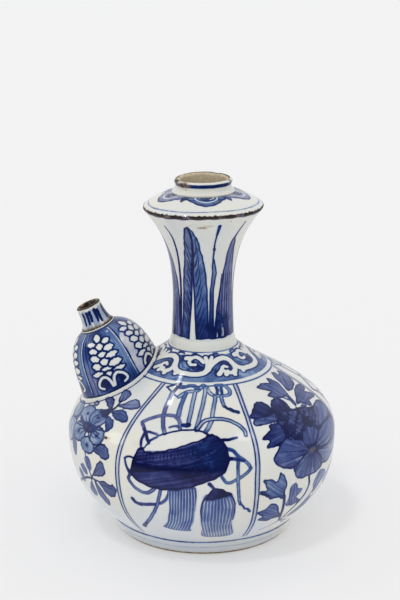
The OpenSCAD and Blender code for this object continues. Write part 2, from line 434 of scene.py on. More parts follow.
    def reserve(self, points, edge):
        """A white shape with a dark outline."""
        pick, gap, _ = self.shape(points)
        self.clear(pick, gap)
        self.ink(pick, np.abs(gap) - edge / 2)

    def vine(self, turns, strokes, outline=0.9):
        """White strokes that run into each other, with one dark outline round them all."""
        gap = np.full(len(self.up), FAR)
        for self.turn in turns:
            for points, width, end in strokes:
                pick, away = self.trace(points, width + VINE_FULLER, end + VINE_FULLER)
                gap[pick] = np.minimum(gap[pick], away)
        near = np.nonzero(gap < FAR)[0]
        self.clear(near, gap[near])
        self.ink(near, np.abs(gap[near] - outline / 2) - outline / 2)
        self.turn = 0.0

    def ellipse(self, centre, half_angle, half_height, tone, edge=0.7, streaked=True):
        a = np.radians(np.arange(0, 360, 30))
        points = np.stack([centre[0] + half_angle * np.cos(a), centre[1] + half_height * np.sin(a)], 1)
        self.fill(points, tone, edge=edge, streaked=streaked)

    def ring(self, up, width, tone=None, waver=0.0, waves=7):
        """A line right round the surface."""
        middle = up + waver * wave(self.around, waves) + waver * wave(self.around, 3, 40)
        self.ink(self.all, np.abs(self.up - middle) - width / 2, tone)


def scattered(count, low, high):
    """Points spread evenly but in no rows between two corners."""
    shares = [[step * (i + 1) % 1 for step in SCATTER] for i in range(count)]
    return [tuple(a + (b - a) * share for a, b, share in zip(low, high, pair)) for pair in shares]


def between(a, b, share):
    """A path that lies between two paths with as many points."""
    return [(p[0] + (q[0] - p[0]) * share, p[1] + (q[1] - p[1]) * share) for p, q in zip(a, b)]


# Motifs of the body, drawn where they stand on the front, right and left panels. Points are degrees round
# and mm up; after them come a stroke's width, its width at the end and its tone, or a shape's tone

def panel_border(c):
    """Double line between two panels."""
    left = [(22.8, 13), (22.8, 24), (22.4, 40), (22.3, 56), (22.7, 75), (23.1, 88), (24.0, 100),
            (25.4, 112.6)]
    right = [(24.8, 13), (24.6, 24), (24.0, 40), (24.0, 56), (24.4, 75), (24.9, 88), (26.2, 100),
             (28.4, 112.6)]
    c.stroke(between(left, right, 0.5), 1.5, 1.8, tone=0.08)
    c.stroke(left, 0.75)
    c.pressed = 0.75
    c.stroke(right, 0.75, 1.0)
    c.pressed = 1.0


def tassel(c, left, right, strands, tone):
    """A tuft of strands between two sides, darker at its head."""
    tuft = left + right[::-1]
    c.fill(tuft, tone * TASSEL_FOOT, top=tone * TASSEL_HEAD, edge=0.0)
    pick, gap, _ = c.shape(tuft)
    sides = []
    for side in (left, right):
        path = c.path(side)[::-1]
        sides.append(np.interp(c.up[pick], path[:, 1], path[:, 0]))
    across = wrapped(c.around[pick] - sides[0]) / (sides[1] - sides[0])
    inside = gap < STRANDED_PAST
    c.strand[pick[inside]] = (across * strands)[inside]
    c.comb[pick[inside]] = 0
    c.bite[pick[inside]] = STRAND_BITE


def emblem_bow(c):
    """The bow under the scroll band that everything hangs from."""
    c.stroke([(-28.4, 110.4), (-25, 111.6), (-22, 113), (-18.6, 113.6)], 0.9, 1.9)
    c.stroke([(-19, 113.4), (-20.4, 110), (-21.8, 106.8)], 1.6, 2.0, tone=0.85)
    c.stroke([(-28.2, 110.2), (-25, 108.8), (-21.5, 107.2), (-18.6, 105.4), (-15.6, 105.0)], 0.8)
    c.ribbon([(-16, 105), (-13.5, 107.3), (-10, 108.9), (-6, 109.2), (-3, 110.2), (-1, 112.2),
              (0.6, 113.2)], 1.8)
    c.ribbon([(-17.4, 111), (-14.5, 111.4), (-11, 112.6), (-7, 112.8), (-3.5, 111)], 1.2, 1.9, tone=0.6)
    c.ribbon([(0.4, 113.3), (2.8, 112.2), (4, 110), (5.8, 107.6), (8.4, 106.1)], 1.7)
    c.stroke([(10.6, 113.2), (11, 110), (10.4, 106.6)], 1.6, tone=0.75)
    c.stroke([(14.9, 113), (14.4, 110), (13.9, 106.6)], 1.6, tone=0.75)
    c.ribbon([(8, 106), (13, 106), (17.8, 105.9), (20, 107.4), (20.2, 109.6), (18.4, 111.8), (15, 113),
              (11, 113)], 1.5, tone=0.3)


def emblem_cords(c):
    """Cords from the bow down to the case, and the straps over its lid."""
    c.violet = 0.7
    c.ribbon([(-21.9, 107), (-22, 100), (-21.6, 95), (-21, 91), (-19.4, 86), (-17.6, 82)], 1.7, 1.6,
             tone=0.42)
    c.violet = 0.2
    c.ribbon([(-11.9, 107.6), (-13, 101), (-13.2, 96), (-13, 92.8)], 1.6, 2.2, tone=0.42)
    c.ribbon([(-5.5, 108.4), (-6.2, 100), (-6.8, 92), (-7.2, 87.4)], 1.7, tone=0.24)
    c.ribbon([(2.2, 111), (1, 104), (-0.6, 97), (-2, 90), (-3, 85.4)], 1.6, tone=0.24)
    c.ribbon([(8.8, 105.4), (7.5, 101), (6, 96), (5, 91), (3.8, 88), (2, 84.4)], 1.6, 1.9, tone=0.26)
    c.ribbon([(12.9, 105.4), (12.8, 103), (13, 100.6), (13.4, 98.8)], 1.5, tone=0.3)
    c.stroke([(13.4, 98.8), (15, 97.2), (16.6, 96.8), (18, 95.4), (20.2, 94.4)], 1.4, 2.1, tone=0.85)
    c.stroke([(14.4, 97.4), (16.4, 95.6), (18, 94.6), (20.2, 94)], 0.8)
    c.violet = 1.0
    c.pressed = 0.58
    c.ribbon([(-30.8, 86.4), (-27, 89.5), (-22, 91.9), (-17, 92.7), (-13.8, 91.8), (-11.6, 89.2),
              (-10.8, 85.6)], 1.5, tone=0.4)
    c.stroke([(-31, 86.2), (-29, 83.6), (-27, 81), (-25.4, 78.4), (-23.8, 75.6)], 1.9, 1.6, tone=0.5)
    c.stroke([(-27.6, 81.4), (-24, 81.4), (-20.4, 80.2), (-23.4, 77)], 1.3, tone=0.5)
    c.stroke([(-27.2, 81), (-27.6, 77), (-26.8, 72.6)], 1.5, tone=0.5)
    c.stroke([(-16, 85.6), (-13.4, 86.6), (-11.4, 86.2)], 1.2, 1.6)
    c.violet = 0.2
    c.pressed = 0.9
    c.stroke([(-9.6, 87.6), (-8, 87.4), (-6.8, 87.8)], 2.2, 2.6, tone=0.9)
    c.ribbon([(-2.6, 85), (-0.6, 88.5), (2, 90.7), (6, 91.4), (11, 91), (15, 89.3), (18.5, 86.3),
              (20.3, 83), (20.4, 80.6)], 1.8, 1.4, tone=0.16, edge=0.8)
    c.stroke([(15.8, 79.9), (12, 79.1), (8, 79.2)], 1.3, 1.7)


CASE_STITCHES = 15
CASE_STITCH = 1.5
CASE_SPECKS = 34


def emblem_case(c):
    """The dark tied case, with its white lid above."""
    outline = [(-30.0, 59.6), (-27.6, 55.8), (-22, 53.3), (-16, 52.5), (-10, 53.3), (-4, 55.1), (1, 57.4),
               (6, 59.8), (9.6, 63.2), (11.1, 68), (11, 73), (9.8, 77.4), (7.2, 80.8), (4.6, 82.4),
               (2.4, 81.8), (0, 79.6), (-5, 77.6), (-10, 75.2), (-15, 73.2), (-20, 71.5), (-24, 71.1),
               (-26.6, 73), (-28.4, 70), (-29.4, 65)]
    c.violet = 1.0
    c.fill(outline, 0.9, top=0.84, edge=0.9)
    c.tint((3, 72), 11, 10, 1.0, 0.0)
    c.tint((-12, 63.6), 17, 2.0, 1.1, 0.3)
    c.tint((-19, 69.4), 10, 3.0, 0.6, 0.9)
    c.tint((-17, 57.6), 13, 4.2, 0.7, 1.0)
    c.stroke([(-29.4, 60.8), (-23, 62.6), (-16, 63.4), (-8, 64.2), (2, 64.2)], 2.0, 0.9)
    c.stroke([(-27.4, 65.4), (-18, 65.7), (-10, 66.8), (-3, 69), (4, 72.6), (8, 76)], 0.8, 1.0, tone=0.66)
    c.stroke([(-23.6, 71.4), (-18, 72.1), (-12, 74), (-6, 76.4), (0, 78.8)], 0.8, 0.9, tone=0.4)
    for i in range(CASE_STITCHES):
        along = CASE_STITCH * i
        x, top = -25 + along, 69.8 + 0.045 * along + 0.007 * along ** 2
        c.stroke([(x, top), (x + 0.2, top - 2.8)], 0.8, 0.6)
    c.violet = 0.0
    for x, y in scattered(CASE_SPECKS, (-5, 61), (9.6, 77)):
        c.stroke([(x, y), (x + 0.5, y - 0.7)], 1.3, 0.9)
    c.violet = 0.5
    c.stroke([(-19.8, 80.4), (-15, 82.8), (-10, 84.4), (-4, 84.9), (0, 84), (3, 82.2)], 0.8, 1.0)
    c.stroke([(-19.8, 80.4), (-22.6, 77.6), (-24.4, 74.6), (-25.6, 72.2)], 0.8, tone=0.5)


def emblem_ribbons(c):
    """Loose loops and ends at both sides of the case and below it."""
    c.violet = 0.6
    c.stroke([(-29, 66.8), (-31.4, 67.2), (-33.4, 66)], 0.8, 1.1)
    c.stroke([(-33.2, 65.8), (-32.2, 62), (-30.2, 58.2)], 1.1, 1.8)
    c.ribbon([(-30.4, 58), (-31.2, 55.6), (-29.4, 52.4), (-27, 50.2), (-23.6, 49.2), (-21, 50.8),
              (-19.4, 52.8)], 1.1, 1.4, tone=0.4)
    c.stroke([(-30.4, 44), (-29, 42.2), (-26.4, 41.8), (-22, 42.7), (-18.4, 43.8), (-15.4, 46.2),
              (-13.6, 50.2)], 2.2, 1.6, tone=0.62)
    c.stroke([(-30.2, 43.6), (-29, 41.6), (-26.4, 40.8)], 0.8)
    c.violet = 0.45
    c.ribbon([(-17, 52), (-17.8, 48), (-19, 43), (-20.6, 39), (-23, 34), (-26, 29), (-28.4, 25.4)], 1.1,
             1.2, tone=0.42)
    c.stroke([(-26.8, 27.8), (-28.6, 25.2), (-30, 22.6)], 1.4, 2.4, tone=0.75)
    c.violet = 0.2
    c.ribbon([(10.8, 74.4), (13.4, 73), (15.2, 70.2), (18.4, 67), (20.2, 63.6)], 1.3, 1.2, tone=0.22)
    c.ribbon([(20.2, 63.4), (18, 60.8), (14.5, 58.4), (11, 56.8), (9, 58.6), (7.6, 61.6)], 1.2, 1.0,
             tone=0.5)
    c.stroke([(11, 69.4), (14.4, 68.8), (17.4, 67.6)], 1.9, 1.4)
    c.ribbon([(14.9, 67.4), (14.8, 62), (15, 54), (15.4, 47), (16, 44)], 1.2, 1.1, tone=0.32)
    c.stroke([(15.9, 45), (17, 43), (18.2, 40.8), (19.4, 40.4), (20.6, 38.4)], 0.9, 1.5)


def emblem(c):
    """A treasure hung by cords from a bow, with loose ribbons and two tassels."""
    c.violet = 0.1
    c.pressed = 0.85
    emblem_bow(c)
    c.pressed = 0.7
    emblem_cords(c)
    c.pressed = 0.8
    emblem_ribbons(c)
    c.pressed = 1.0
    c.violet = 0.4
    tassel(c, [(-13.3, 54), (-13.6, 45), (-14.6, 37), (-16.5, 30), (-18.4, 25.6)],
           [(-2.6, 55), (-2.6, 45), (-3.6, 36), (-5.4, 28), (-7, 23.6)], 9, 0.52)
    tassel(c, [(2, 51), (-0.2, 46), (-0.7, 39), (-0.5, 29), (0.6, 17)],
           [(11.4, 51), (13.6, 46), (13.9, 39), (13.2, 30), (15, 18)], 10, 0.42)
    c.stroke([(2.4, 50), (0.2, 46), (-0.5, 41), (-0.5, 36)], 0.9, 0.6)
    c.stroke([(11.6, 50.6), (13.4, 46), (13.8, 41), (13.4, 34)], 0.9, 0.6)
    c.violet = 0.9
    c.fill([(1.8, 48), (3, 51.6), (5, 53.6), (7, 54), (10, 52.2), (12.4, 50.2), (10, 49.4), (7, 48.6),
            (4, 47.8)], 0.9)
    c.stroke([(3.2, 56.6), (4.4, 55), (5.4, 53.4)], 2.0, 1.6, tone=0.7)
    emblem_case(c)
    c.violet = VIOLET


def veins(c, base, tips, width=0.5):
    for tip in tips:
        middle = [(a + b) / 2 + bend for a, b, bend in zip(base, tip, VEIN_BEND)]
        c.stroke([base, middle, tip], width, VEIN_TIP)


def peony_leaves(c):
    """Lobed leaves above and below the flower, with their veins and stems."""
    leaves = (
        (0.6, [(42.6, 107), (46, 107.8), (50, 108.4), (56.6, 106.8), (58.6, 109.6), (60.4, 109.4),
               (62.6, 107.4), (64.2, 104), (62.4, 100), (60.6, 95), (59, 89), (57.2, 89.4), (57.8, 95.4),
               (52, 96.5), (45.6, 99.8), (48, 101.2), (50.6, 102), (47, 104.2)], 0.4, 0.56, (58.6, 91),
         [(48, 106.4), (59.4, 108), (49, 99.6)]),
        (0.6, [(64.2, 97.4), (66, 102), (67.6, 107), (71, 110.4), (75, 109.4), (76, 106.6), (82, 108.4),
               (84, 103), (80, 98.6), (72, 97)], 0.46, 0.46, (64.5, 97.5),
         [(72, 109), (80, 106), (78, 100)]),
        (0.6, [(60, 89), (64, 92), (69, 95), (75, 96), (82, 95), (83, 91.6), (77, 91.2), (81, 88), (82, 85),
               (76, 85.8), (72, 86.4), (71, 84.4), (68, 84), (66, 87), (63, 88.4)], 0.5, 0.5, (61, 89.4),
         [(74, 94.8), (80, 87), (69, 85.4)]),
        (0.4, [(26, 55.6), (29.6, 55.2), (32.6, 53.2), (34, 57.8), (36, 55.4), (37.6, 51), (37, 46),
               (37.6, 42), (35.8, 42.4), (33.6, 44), (30, 44), (28, 46), (25, 49.2), (27.6, 49.6),
               (27.4, 52)], 0.56, 0.32, (36.6, 43), [(27, 54.6), (34, 56.4), (26.4, 48.8)]),
        (0.4, [(24.6, 36.6), (28, 37.4), (31, 40.6), (34.4, 38), (36.4, 33), (39, 28), (35, 28.6),
               (31.4, 27.6), (26, 30.4), (28, 32.2), (26, 34.4)], 0.56, 0.38, (38.4, 28.6),
         [(26, 36), (31, 39.6), (27, 30.6)]),
    )
    for c.violet, points, tone, top, base, tips in leaves:
        c.fill(points, tone, top=top)
        veins(c, base, tips)
    c.stroke([(25.2, 48.8), (27, 47.4), (29, 46)], 2.2, 1.0)
    c.violet = 0.6
    c.fill([(39.6, 47), (42, 49.5), (44, 48), (44.6, 45.6), (48, 44), (46.6, 41.4), (44.6, 40),
            (48.4, 36.6), (46, 35), (41, 35.4), (39, 37.6), (40, 42)], 0.5, top=0.36, edge=0.0)
    c.stroke([(42.4, 48.4), (42, 42), (42.6, 36)], 0.6, 0.8)
    c.fill([(56, 45), (59.4, 49.4), (65, 48), (68.4, 44), (64, 41), (58.4, 36.4), (56.6, 41)], 0.3, edge=0.0)
    c.fill([(67, 40), (72, 46), (79, 48), (80, 41), (74, 35)], 0.3, edge=0.0)
    c.fill([(46, 24), (48, 28), (52, 32), (57, 35.4), (58.6, 32), (56, 28), (51, 24.6)], 0.42, edge=0.0)
    c.stroke([(37, 43.4), (38, 37), (38.6, 31), (40, 24.6)], 1.9, 1.3, tone=0.75)
    c.stroke([(51, 51), (52.2, 45), (51, 40), (48, 35.4), (43.6, 29.6), (41.4, 24.6)], 1.5, 1.1, tone=0.75)
    c.stroke([(60, 48), (57, 38), (50, 30), (43.6, 25)], 1.2, 0.9, tone=0.6)
    c.stroke([(72, 42), (65, 36.4), (57, 33), (51, 30.6)], 0.9, 1.1, tone=0.5)
    for end, low in ((31, 17.4), (49, 16.6), (57, 18.6)):
        c.stroke([(41, 24), ((41 + end) / 2, 19.6), (end, low)], 1.4, 0.8, tone=0.3)


PEONY_EDGE = [(25.4, 90.2), (27.6, 92.2), (30, 95), (33.4, 98), (36, 98.2), (38.6, 97), (40.3, 94.4),
              (40.6, 91), (42, 93.8), (44.4, 96.2), (47.4, 97.2), (50.4, 96.4), (52.6, 94.4), (53, 91),
              (52.6, 88.4), (56, 86.8), (60, 86.4), (63.4, 85.2), (66, 83.6), (69.6, 82.8), (73, 81.6),
              (78, 83), (82, 80), (81.4, 74), (82, 68), (80, 63), (80.6, 57), (75, 53.6), (68, 51.6),
              (63, 53), (60, 51), (55, 50.2), (50, 50.6), (45.4, 51), (43, 52.6), (41.8, 55.4),
              (40.6, 58.4), (36.4, 59.6), (33, 62), (30.8, 65.4), (33, 69), (35.4, 71.6), (32, 72),
              (28.8, 72.2), (30.6, 74.6), (30.8, 75.8), (27.8, 77), (31, 79.4), (33.3, 80.8), (33.8, 83.2),
              (36.4, 83.6), (38.6, 83.8), (38.6, 84.8), (33, 84.6), (27, 84.8), (26.4, 86.6), (28, 88.6)]
PEONY_HEART = (53.0, 64.0)
PEONY_CORE = (47.0, 80.0)
PEONY_RAYS = ((44, 54), (47.6, 52.2), (52, 51.6), (57, 52.4), (62, 55), (70, 58), (72, 65), (66, 70),
              (36, 63), (35, 68.4), (42, 71))
PEONY_CURLS = 64
CURL_TURN = 137
CURL_BEND = 0.7


def peony_flower(c):
    """Overlapping petals over one dark flower, streaked out from its heart."""
    c.violet = 0.55
    c.fill(PEONY_EDGE, 0.5, top=0.95, edge=0.9)
    petals = (
        ([(28, 88.6), (26.4, 86.6), (27, 84.8), (33, 84.6), (38.6, 84.8), (41, 86), (40.4, 89.6),
          (34, 89.4)], 0.42, 0.66, PEONY_CORE),
        ([(25.4, 90.2), (27.6, 92.2), (30, 95), (33.4, 98), (36, 98.2), (38.6, 97), (40.3, 94.4),
          (40.4, 90), (36, 88.8), (30, 88.6)], 0.86, 0.8, PEONY_CORE),
        ([(40.6, 90), (42, 93.8), (44.4, 96.2), (47.4, 97.2), (50.4, 96.4), (52.6, 94.4), (53, 91),
          (51.6, 88), (46, 86.4), (42, 87)], 0.95, 0.74, PEONY_CORE),
        ([(27.8, 77), (31, 79.4), (33.3, 80.8), (33.8, 83.2), (36.4, 83.6), (39.6, 82.4), (41, 78),
          (39, 74), (36, 73), (32, 72), (28.8, 72.2), (30.6, 74.6), (30.8, 75.8)], 0.58, 0.74, PEONY_CORE),
        ([(60, 76), (64, 80), (69.6, 82.4), (78, 82.8), (82, 79), (81.4, 74), (73, 72.6), (64, 72.4)], 0.42,
         0.5, PEONY_HEART),
        ([(56, 65), (60, 70), (66, 72.4), (77, 72), (82, 68), (80, 63), (70, 62), (62, 62.4)], 0.36, 0.4,
         PEONY_HEART),
        ([(57, 62.6), (63, 61.6), (71, 61.4), (80, 60), (80.4, 56), (75, 53.6), (68, 51.6), (62, 53),
          (59, 57)], 0.32, 0.38, PEONY_HEART),
        ([(41.8, 55.4), (43, 59), (46, 62), (51, 64.4), (56, 62.6), (60, 58), (61, 53.6), (60, 51),
          (55, 50.2), (50, 50.6), (45.4, 51), (43, 52.6)], 0.46, 0.58, PEONY_HEART),
        ([(30.8, 65.4), (33, 69), (36, 72.6), (40, 75), (44.4, 74), (48, 70.4), (51.4, 65), (47, 62.6),
          (43, 59.6), (40.6, 58.4), (36.4, 59.6), (33, 62)], 0.56, 0.5, PEONY_HEART),
        ([(40, 84), (42, 87.4), (48, 88.6), (54, 87.6), (60, 86.2), (65, 83.8), (66, 79), (62, 76),
          (57, 77), (50, 75.6), (46.6, 71.6), (43, 73.4), (40.6, 78)], 0.95, 0.86, PEONY_CORE),
        ([(48, 70.6), (50, 74.4), (54, 76), (58.4, 75.4), (61, 72.4), (60, 69), (56, 66.6), (52, 66.2),
          (49, 68)], 0.6, 0.46, PEONY_HEART),
    )
    for points, tone, top, heart in petals:
        c.fill(points, tone, top=top, edge=0.75, heart=heart)
    for tip in PEONY_RAYS:
        ray = [between([PEONY_HEART], [tip], share)[0] for share in (0.2, 0.55, 1)]
        c.stroke(ray, 0.8, 0.5)
    for i, (x, y) in enumerate(scattered(PEONY_CURLS, (39, 73.6), (66, 87))):
        lean = math.radians(CURL_TURN * i)
        middle = (x + 1.6 * math.cos(lean), y + 1.3 * math.sin(lean))
        tip = (x + 2.8 * math.cos(lean + CURL_BEND), y + 2.3 * math.sin(lean + CURL_BEND))
        if i % 2:
            c.stroke([(x, y), middle, tip], 0.85)
        else:
            c.stroke([(x, y), middle, tip], 1.7, 1.1, tone=0.6)
    c.stains((PEONY_HEART, 3.4, 1.5, 0.3))
    c.violet = VIOLET


def peony(c):
    """A full flower on leafy stems."""
    peony_leaves(c)
    peony_flower(c)


# Hue and outline of a leaf
OUTLINED = (0.6, 0.75)
BRISK = (0.15, 0.75)
SOFT = (0.6, 0.0)


def prunus_leaves(c):
    """Leaves on two twigs; those far round the side are soft washes."""
    leaves = (
        (OUTLINED, [(-59, 100), (-55, 101), (-51, 100), (-49.8, 97.4), (-51, 94.4), (-52.6, 93), (-55, 94),
                    (-57, 97)], 0.4, 0.34),
        (OUTLINED, [(-51, 91), (-48.4, 94), (-45, 97.4), (-42, 97.8), (-39.4, 96.4), (-37.6, 94.4),
                    (-39, 92.6), (-44, 91), (-48, 90.7)], 0.36, 0.28),
        (OUTLINED, [(-65.6, 91), (-62, 93), (-58.4, 92.8), (-56, 91), (-53.4, 86.6), (-57, 87.6),
                    (-61, 89)], 0.5, 0.56),
        (BRISK, [(-52, 86.4), (-49, 88.6), (-45.4, 89.5), (-42, 88), (-39.2, 84.4), (-42, 83.2),
                 (-47, 83.6), (-50, 85)], 0.68, 0.48),
        (BRISK, [(-53, 83.4), (-50, 83), (-47, 82), (-45.4, 79.4), (-46, 77), (-47.6, 75.6), (-49.6, 78),
                 (-52, 81)], 0.72, 0.5),
        (OUTLINED, [(-51.6, 64.4), (-48, 68.4), (-45.4, 69), (-43, 67.5), (-41.6, 64.5), (-42.6, 62.4),
                    (-45, 61.7), (-48, 63)], 0.46, 0.42),
        (OUTLINED, [(-52, 50.4), (-50, 55), (-47.6, 59), (-46, 60), (-44.3, 57.5), (-44, 54), (-46, 52),
                    (-49, 50.7)], 0.42, 0.44),
        (OUTLINED, [(-49, 47.4), (-45, 49), (-42, 48), (-40, 49), (-38.7, 46), (-40, 42.5), (-42.6, 40.9),
                    (-45.6, 42.4), (-47.6, 45.4)], 0.56, 0.46),
        (OUTLINED, [(-52, 46.6), (-50.4, 45.6), (-48.4, 43), (-46, 39), (-45.2, 36), (-47, 33.4),
                    (-49.6, 35.4), (-51.6, 40)], 0.4, 0.44),
        (SOFT, [(-54.6, 45), (-53, 40), (-53.4, 37), (-56, 35.8), (-58.2, 37.4), (-57.6, 41)], 0.4, 0.44),
        (SOFT, [(-58.4, 57), (-56.6, 59), (-54, 58), (-53, 54), (-54.4, 51.4), (-57, 53)], 0.42, 0.46),
        (SOFT, [(-63, 51), (-60, 53.4), (-57.4, 51), (-57, 48.4), (-60, 47.8)], 0.42, 0.42),
        (SOFT, [(-72, 62), (-69, 64.6), (-66, 62), (-66, 57), (-68.4, 54), (-71, 57)], 0.4, 0.44),
        (SOFT, [(-66, 47), (-64, 49), (-61, 46), (-61.6, 42), (-64.6, 42)], 0.38, 0.42),
        (SOFT, [(-80, 70), (-77, 75), (-73.6, 76.6), (-72.4, 73), (-75, 69)], 0.44, 0.5),
        (OUTLINED, [(-76, 38), (-79, 43), (-83, 45.6), (-85.6, 43), (-83, 38.6), (-79, 36)], 0.44, 0.5),
        (OUTLINED, [(-79, 30), (-76, 27), (-73, 22.6), (-75, 20), (-79, 22), (-81, 26)], 0.5, 0.42),
        (OUTLINED, [(-86, 61), (-83, 57), (-81, 52), (-83, 49.6), (-86.4, 52), (-87.6, 56)], 0.48, 0.42),
        (OUTLINED, [(-88, 56), (-91.6, 53.6), (-93.4, 49), (-92, 46), (-89.6, 48.6)], 0.5, 0.44),
        (OUTLINED, [(-84, 64), (-88, 66.6), (-92, 66), (-93, 63), (-90, 61.4), (-86.4, 62)], 0.46, 0.42),
    )
    for (c.violet, edge), points, tone, top in leaves:
        c.fill(points, tone, top=top, edge=edge)
    for base, tip in (((-52.6, 93.2), (-56.4, 99)), ((-49, 92.2), (-40, 95)), ((-54, 87.4), (-63, 91.6)),
                      ((-50.6, 86), (-41, 86.4)), ((-52, 82.6), (-46.8, 78)), ((-50, 65), (-43.4, 65.4)),
                      ((-51, 51.6), (-45.6, 57.6)), ((-47.4, 46.8), (-40.4, 45))):
        veins(c, base, [tip], 0.55)
    c.stroke([(-52.4, 93.4), (-52, 89.6), (-53.4, 86)], 1.1, 1.6)
    c.stroke([(-51, 91.2), (-52.4, 89), (-53.6, 86.4)], 1.0, 1.3)
    c.stroke([(-49, 47.6), (-54, 47.4), (-58.6, 45.8), (-65, 42), (-72, 37), (-79, 31), (-86, 23)], 0.9, 1.5)
    c.stroke([(-80, 66), (-86, 61), (-88.6, 54), (-89.6, 47)], 0.9)
    c.stroke([(-52, 50.6), (-54, 47.6), (-54.6, 44.8)], 0.9)
    c.stroke([(-58, 61), (-56, 55), (-54, 47.6)], 0.8, 1.0)


PRUNUS_HEART = (-60, 73.2)
PRUNUS_STAMENS = 16
PRUNUS_PETALS = (((-77, 66), 6.6, 6.72, 0.26), ((-80, 76), 5.5, 4.93, 0.26),
                 ((-67.4, 78.6), 7.04, 5.04, 0.3), ((-66.6, 68.6), 6.6, 4.93, 0.32),
                 ((-56.6, 65), 5.5, 4.26, 0.32), ((-51.8, 71.6), 4.73, 4.82, 0.34),
                 ((-58, 80), 6.6, 4.93, 0.42))
DOTTED_PETALS = PRUNUS_PETALS[2:]


def prunus_flower(c):
    """Round petals, most of them with a dot, round a dark heart."""
    c.violet = 0.3
    for centre, wide, high, tone in PRUNUS_PETALS:
        c.ellipse(centre, wide, high, tone, edge=0.9, streaked=False)
    c.ellipse(PRUNUS_HEART, 4.8, 2.3, 0.95, edge=0.5)
    x, y = PRUNUS_HEART
    for i in range(PRUNUS_STAMENS):
        across, rise = (f(2 * math.pi * i / PRUNUS_STAMENS) for f in (math.cos, math.sin))
        reach = 1.25 if i % 2 else 1.0
        tip = (x + 9.4 * reach * across, y + 4.8 * reach * rise)
        c.stroke([(x + 4 * across, y + 2 * rise), tip], 0.9, 0.7)
    for centre, *_ in DOTTED_PETALS:
        c.ellipse(centre, 1.0, 0.8, 0.95, edge=0.4)
    c.violet = 0.1
    c.fill([(-60, 83.6), (-57.6, 85.8), (-53.6, 86.4), (-52.6, 84), (-54.4, 81.6), (-57.4, 82.4)], 0.88)
    c.stroke([(-58.6, 81.8), (-60.4, 80), (-61, 77.6)], 1.2, 0.8)
    c.violet = 0.6
    c.ellipse((-68, 85.6), 2.4, 1.3, 0.24, edge=0.8)
    c.violet = VIOLET


def prunus(c):
    """A blossom on a leafy twig."""
    prunus_leaves(c)
    prunus_flower(c)


# Scroll band on the shoulder: its edges, the waver of the upper one, the line below it, and above it a line
# of pooled glaze in the groove under the neck band, darkened as painted shade
SCROLL_LOW = 115.2
SCROLL_HIGH = 132.3
SCROLL_WAVER = 0.8
SCROLL_LINE = 112.6
GROOVE_POOL_AND_SHADE = 134.5
SCROLL_TURNS = range(0, 360, 72)
# Dark dabs along its upper edge: angle and half width
SCROLL_DABS = ((-34, 5), (-12, 3), (20, 4), (52, 6), (96, 5), (150, 6), (205, 5), (262, 6), (300, 4))


def scroll_band(c):
    """Blue band on the shoulder with a reserved vine that curls up and down."""
    high = SCROLL_HIGH + SCROLL_WAVER * wave(c.around, 7) * wave(c.around, 3, 40)
    c.violet = 0.05
    c.ink(c.all, np.abs(c.up - (SCROLL_LOW + high) / 2) - (high - SCROLL_LOW) / 2, 0.4)
    for c.turn in SCROLL_TURNS:
        c.ellipse((-6.6, 124.8), 7.0, 1.9, 0.8, edge=0.0)
        c.ellipse((30.6, 124.0), 6.6, 2.4, 0.78, edge=0.0)
        c.stroke([(-29, 131), (-27, 127), (-22, 124.6), (-15, 123.4)], 1.6, 0.9, tone=0.68)
        c.stroke([(13, 119.4), (14, 123), (18, 126), (24, 127), (31, 126.8)], 1.2, 1.8, tone=0.7)
    c.vine(SCROLL_TURNS, (
        ([(-34.4, 126.4), (-31.6, 123.4), (-26, 121.3), (-17, 120.6), (-8, 120.4), (0, 121.2), (5, 123.2),
          (9, 126), (15, 128.3), (23, 129.9), (30, 130), (35.4, 128.6), (37.6, 126.4)], 2.7, 2.7),
        ([(5.6, 123.6), (6.4, 127), (4.0, 131)], 3.2, 1.9),
        ([(7, 126.6), (10, 128.8), (13, 131.4)], 2.8, 1.5),
        ([(1, 128.4), (-5, 130.8), (-11, 131.4), (-16, 130.2), (-17.6, 128.2), (-14.4, 126.6), (-9, 126.7)],
         1.9, 1.5),
        ([(-23, 130.2), (-17.6, 130.6)], 2.4, 2.0),
        ([(37, 126.4), (37.4, 123.4), (34.4, 120.7), (29, 120.2), (24, 121.4), (21.4, 123.2), (24.6, 125),
          (28.4, 124.2)], 2.5, 1.4),
        ([(16.6, 120.2), (21, 122.6)], 2.4, 2.1),
        ([(23.6, 119.4), (27, 121.4)], 2.2, 1.9),
        ([(32.4, 118.7), (33.6, 121)], 2.3, 2.0),
        ([(-28, 119.8), (-24.6, 121.4)], 2.2, 1.9),
    ))
    for c.turn in SCROLL_TURNS:
        c.ellipse((-12.4, 128.4), 1.8, 0.8, 0.95, edge=0.5)
    c.turn = 0.0
    c.pressed = 0.7
    c.ring(SCROLL_LINE, 0.8, waver=0.12)
    c.pressed = 1.0
    c.violet = VIOLET
    # Pooled glaze in the groove under the neck band, darkened as painted shade
    c.ring(GROOVE_POOL_AND_SHADE, 1.0, tone=0.42, waver=0.1)
    for at, wide in SCROLL_DABS:
        c.stroke([(at - wide, 133.0), (at, 133.5), (at + wide, 133.0)], 1.3, 0.8, tone=0.62)


def bead_line(away):
    """A closed path on the shoulder, that far outside the bulb."""
    angle = np.arange(0, 375, 15.0)
    r, s = bulb.at(shoulder_arc(angle, -away))
    p = on_spout(r + away, s, angle)
    return np.stack([np.degrees(np.arctan2(p[:, 0], -p[:, 1])) % 360 - 360, body.arc_at(p[:, 2])], 1)


# Lines on the foot and the one round the bead, mm up or away, and the edge of the glaze on the foot
FOOT_LINE = 8.6
PALE_LINE = 4.6
BEAD_LINE = 2.0
GLAZE_EDGE = 0.5


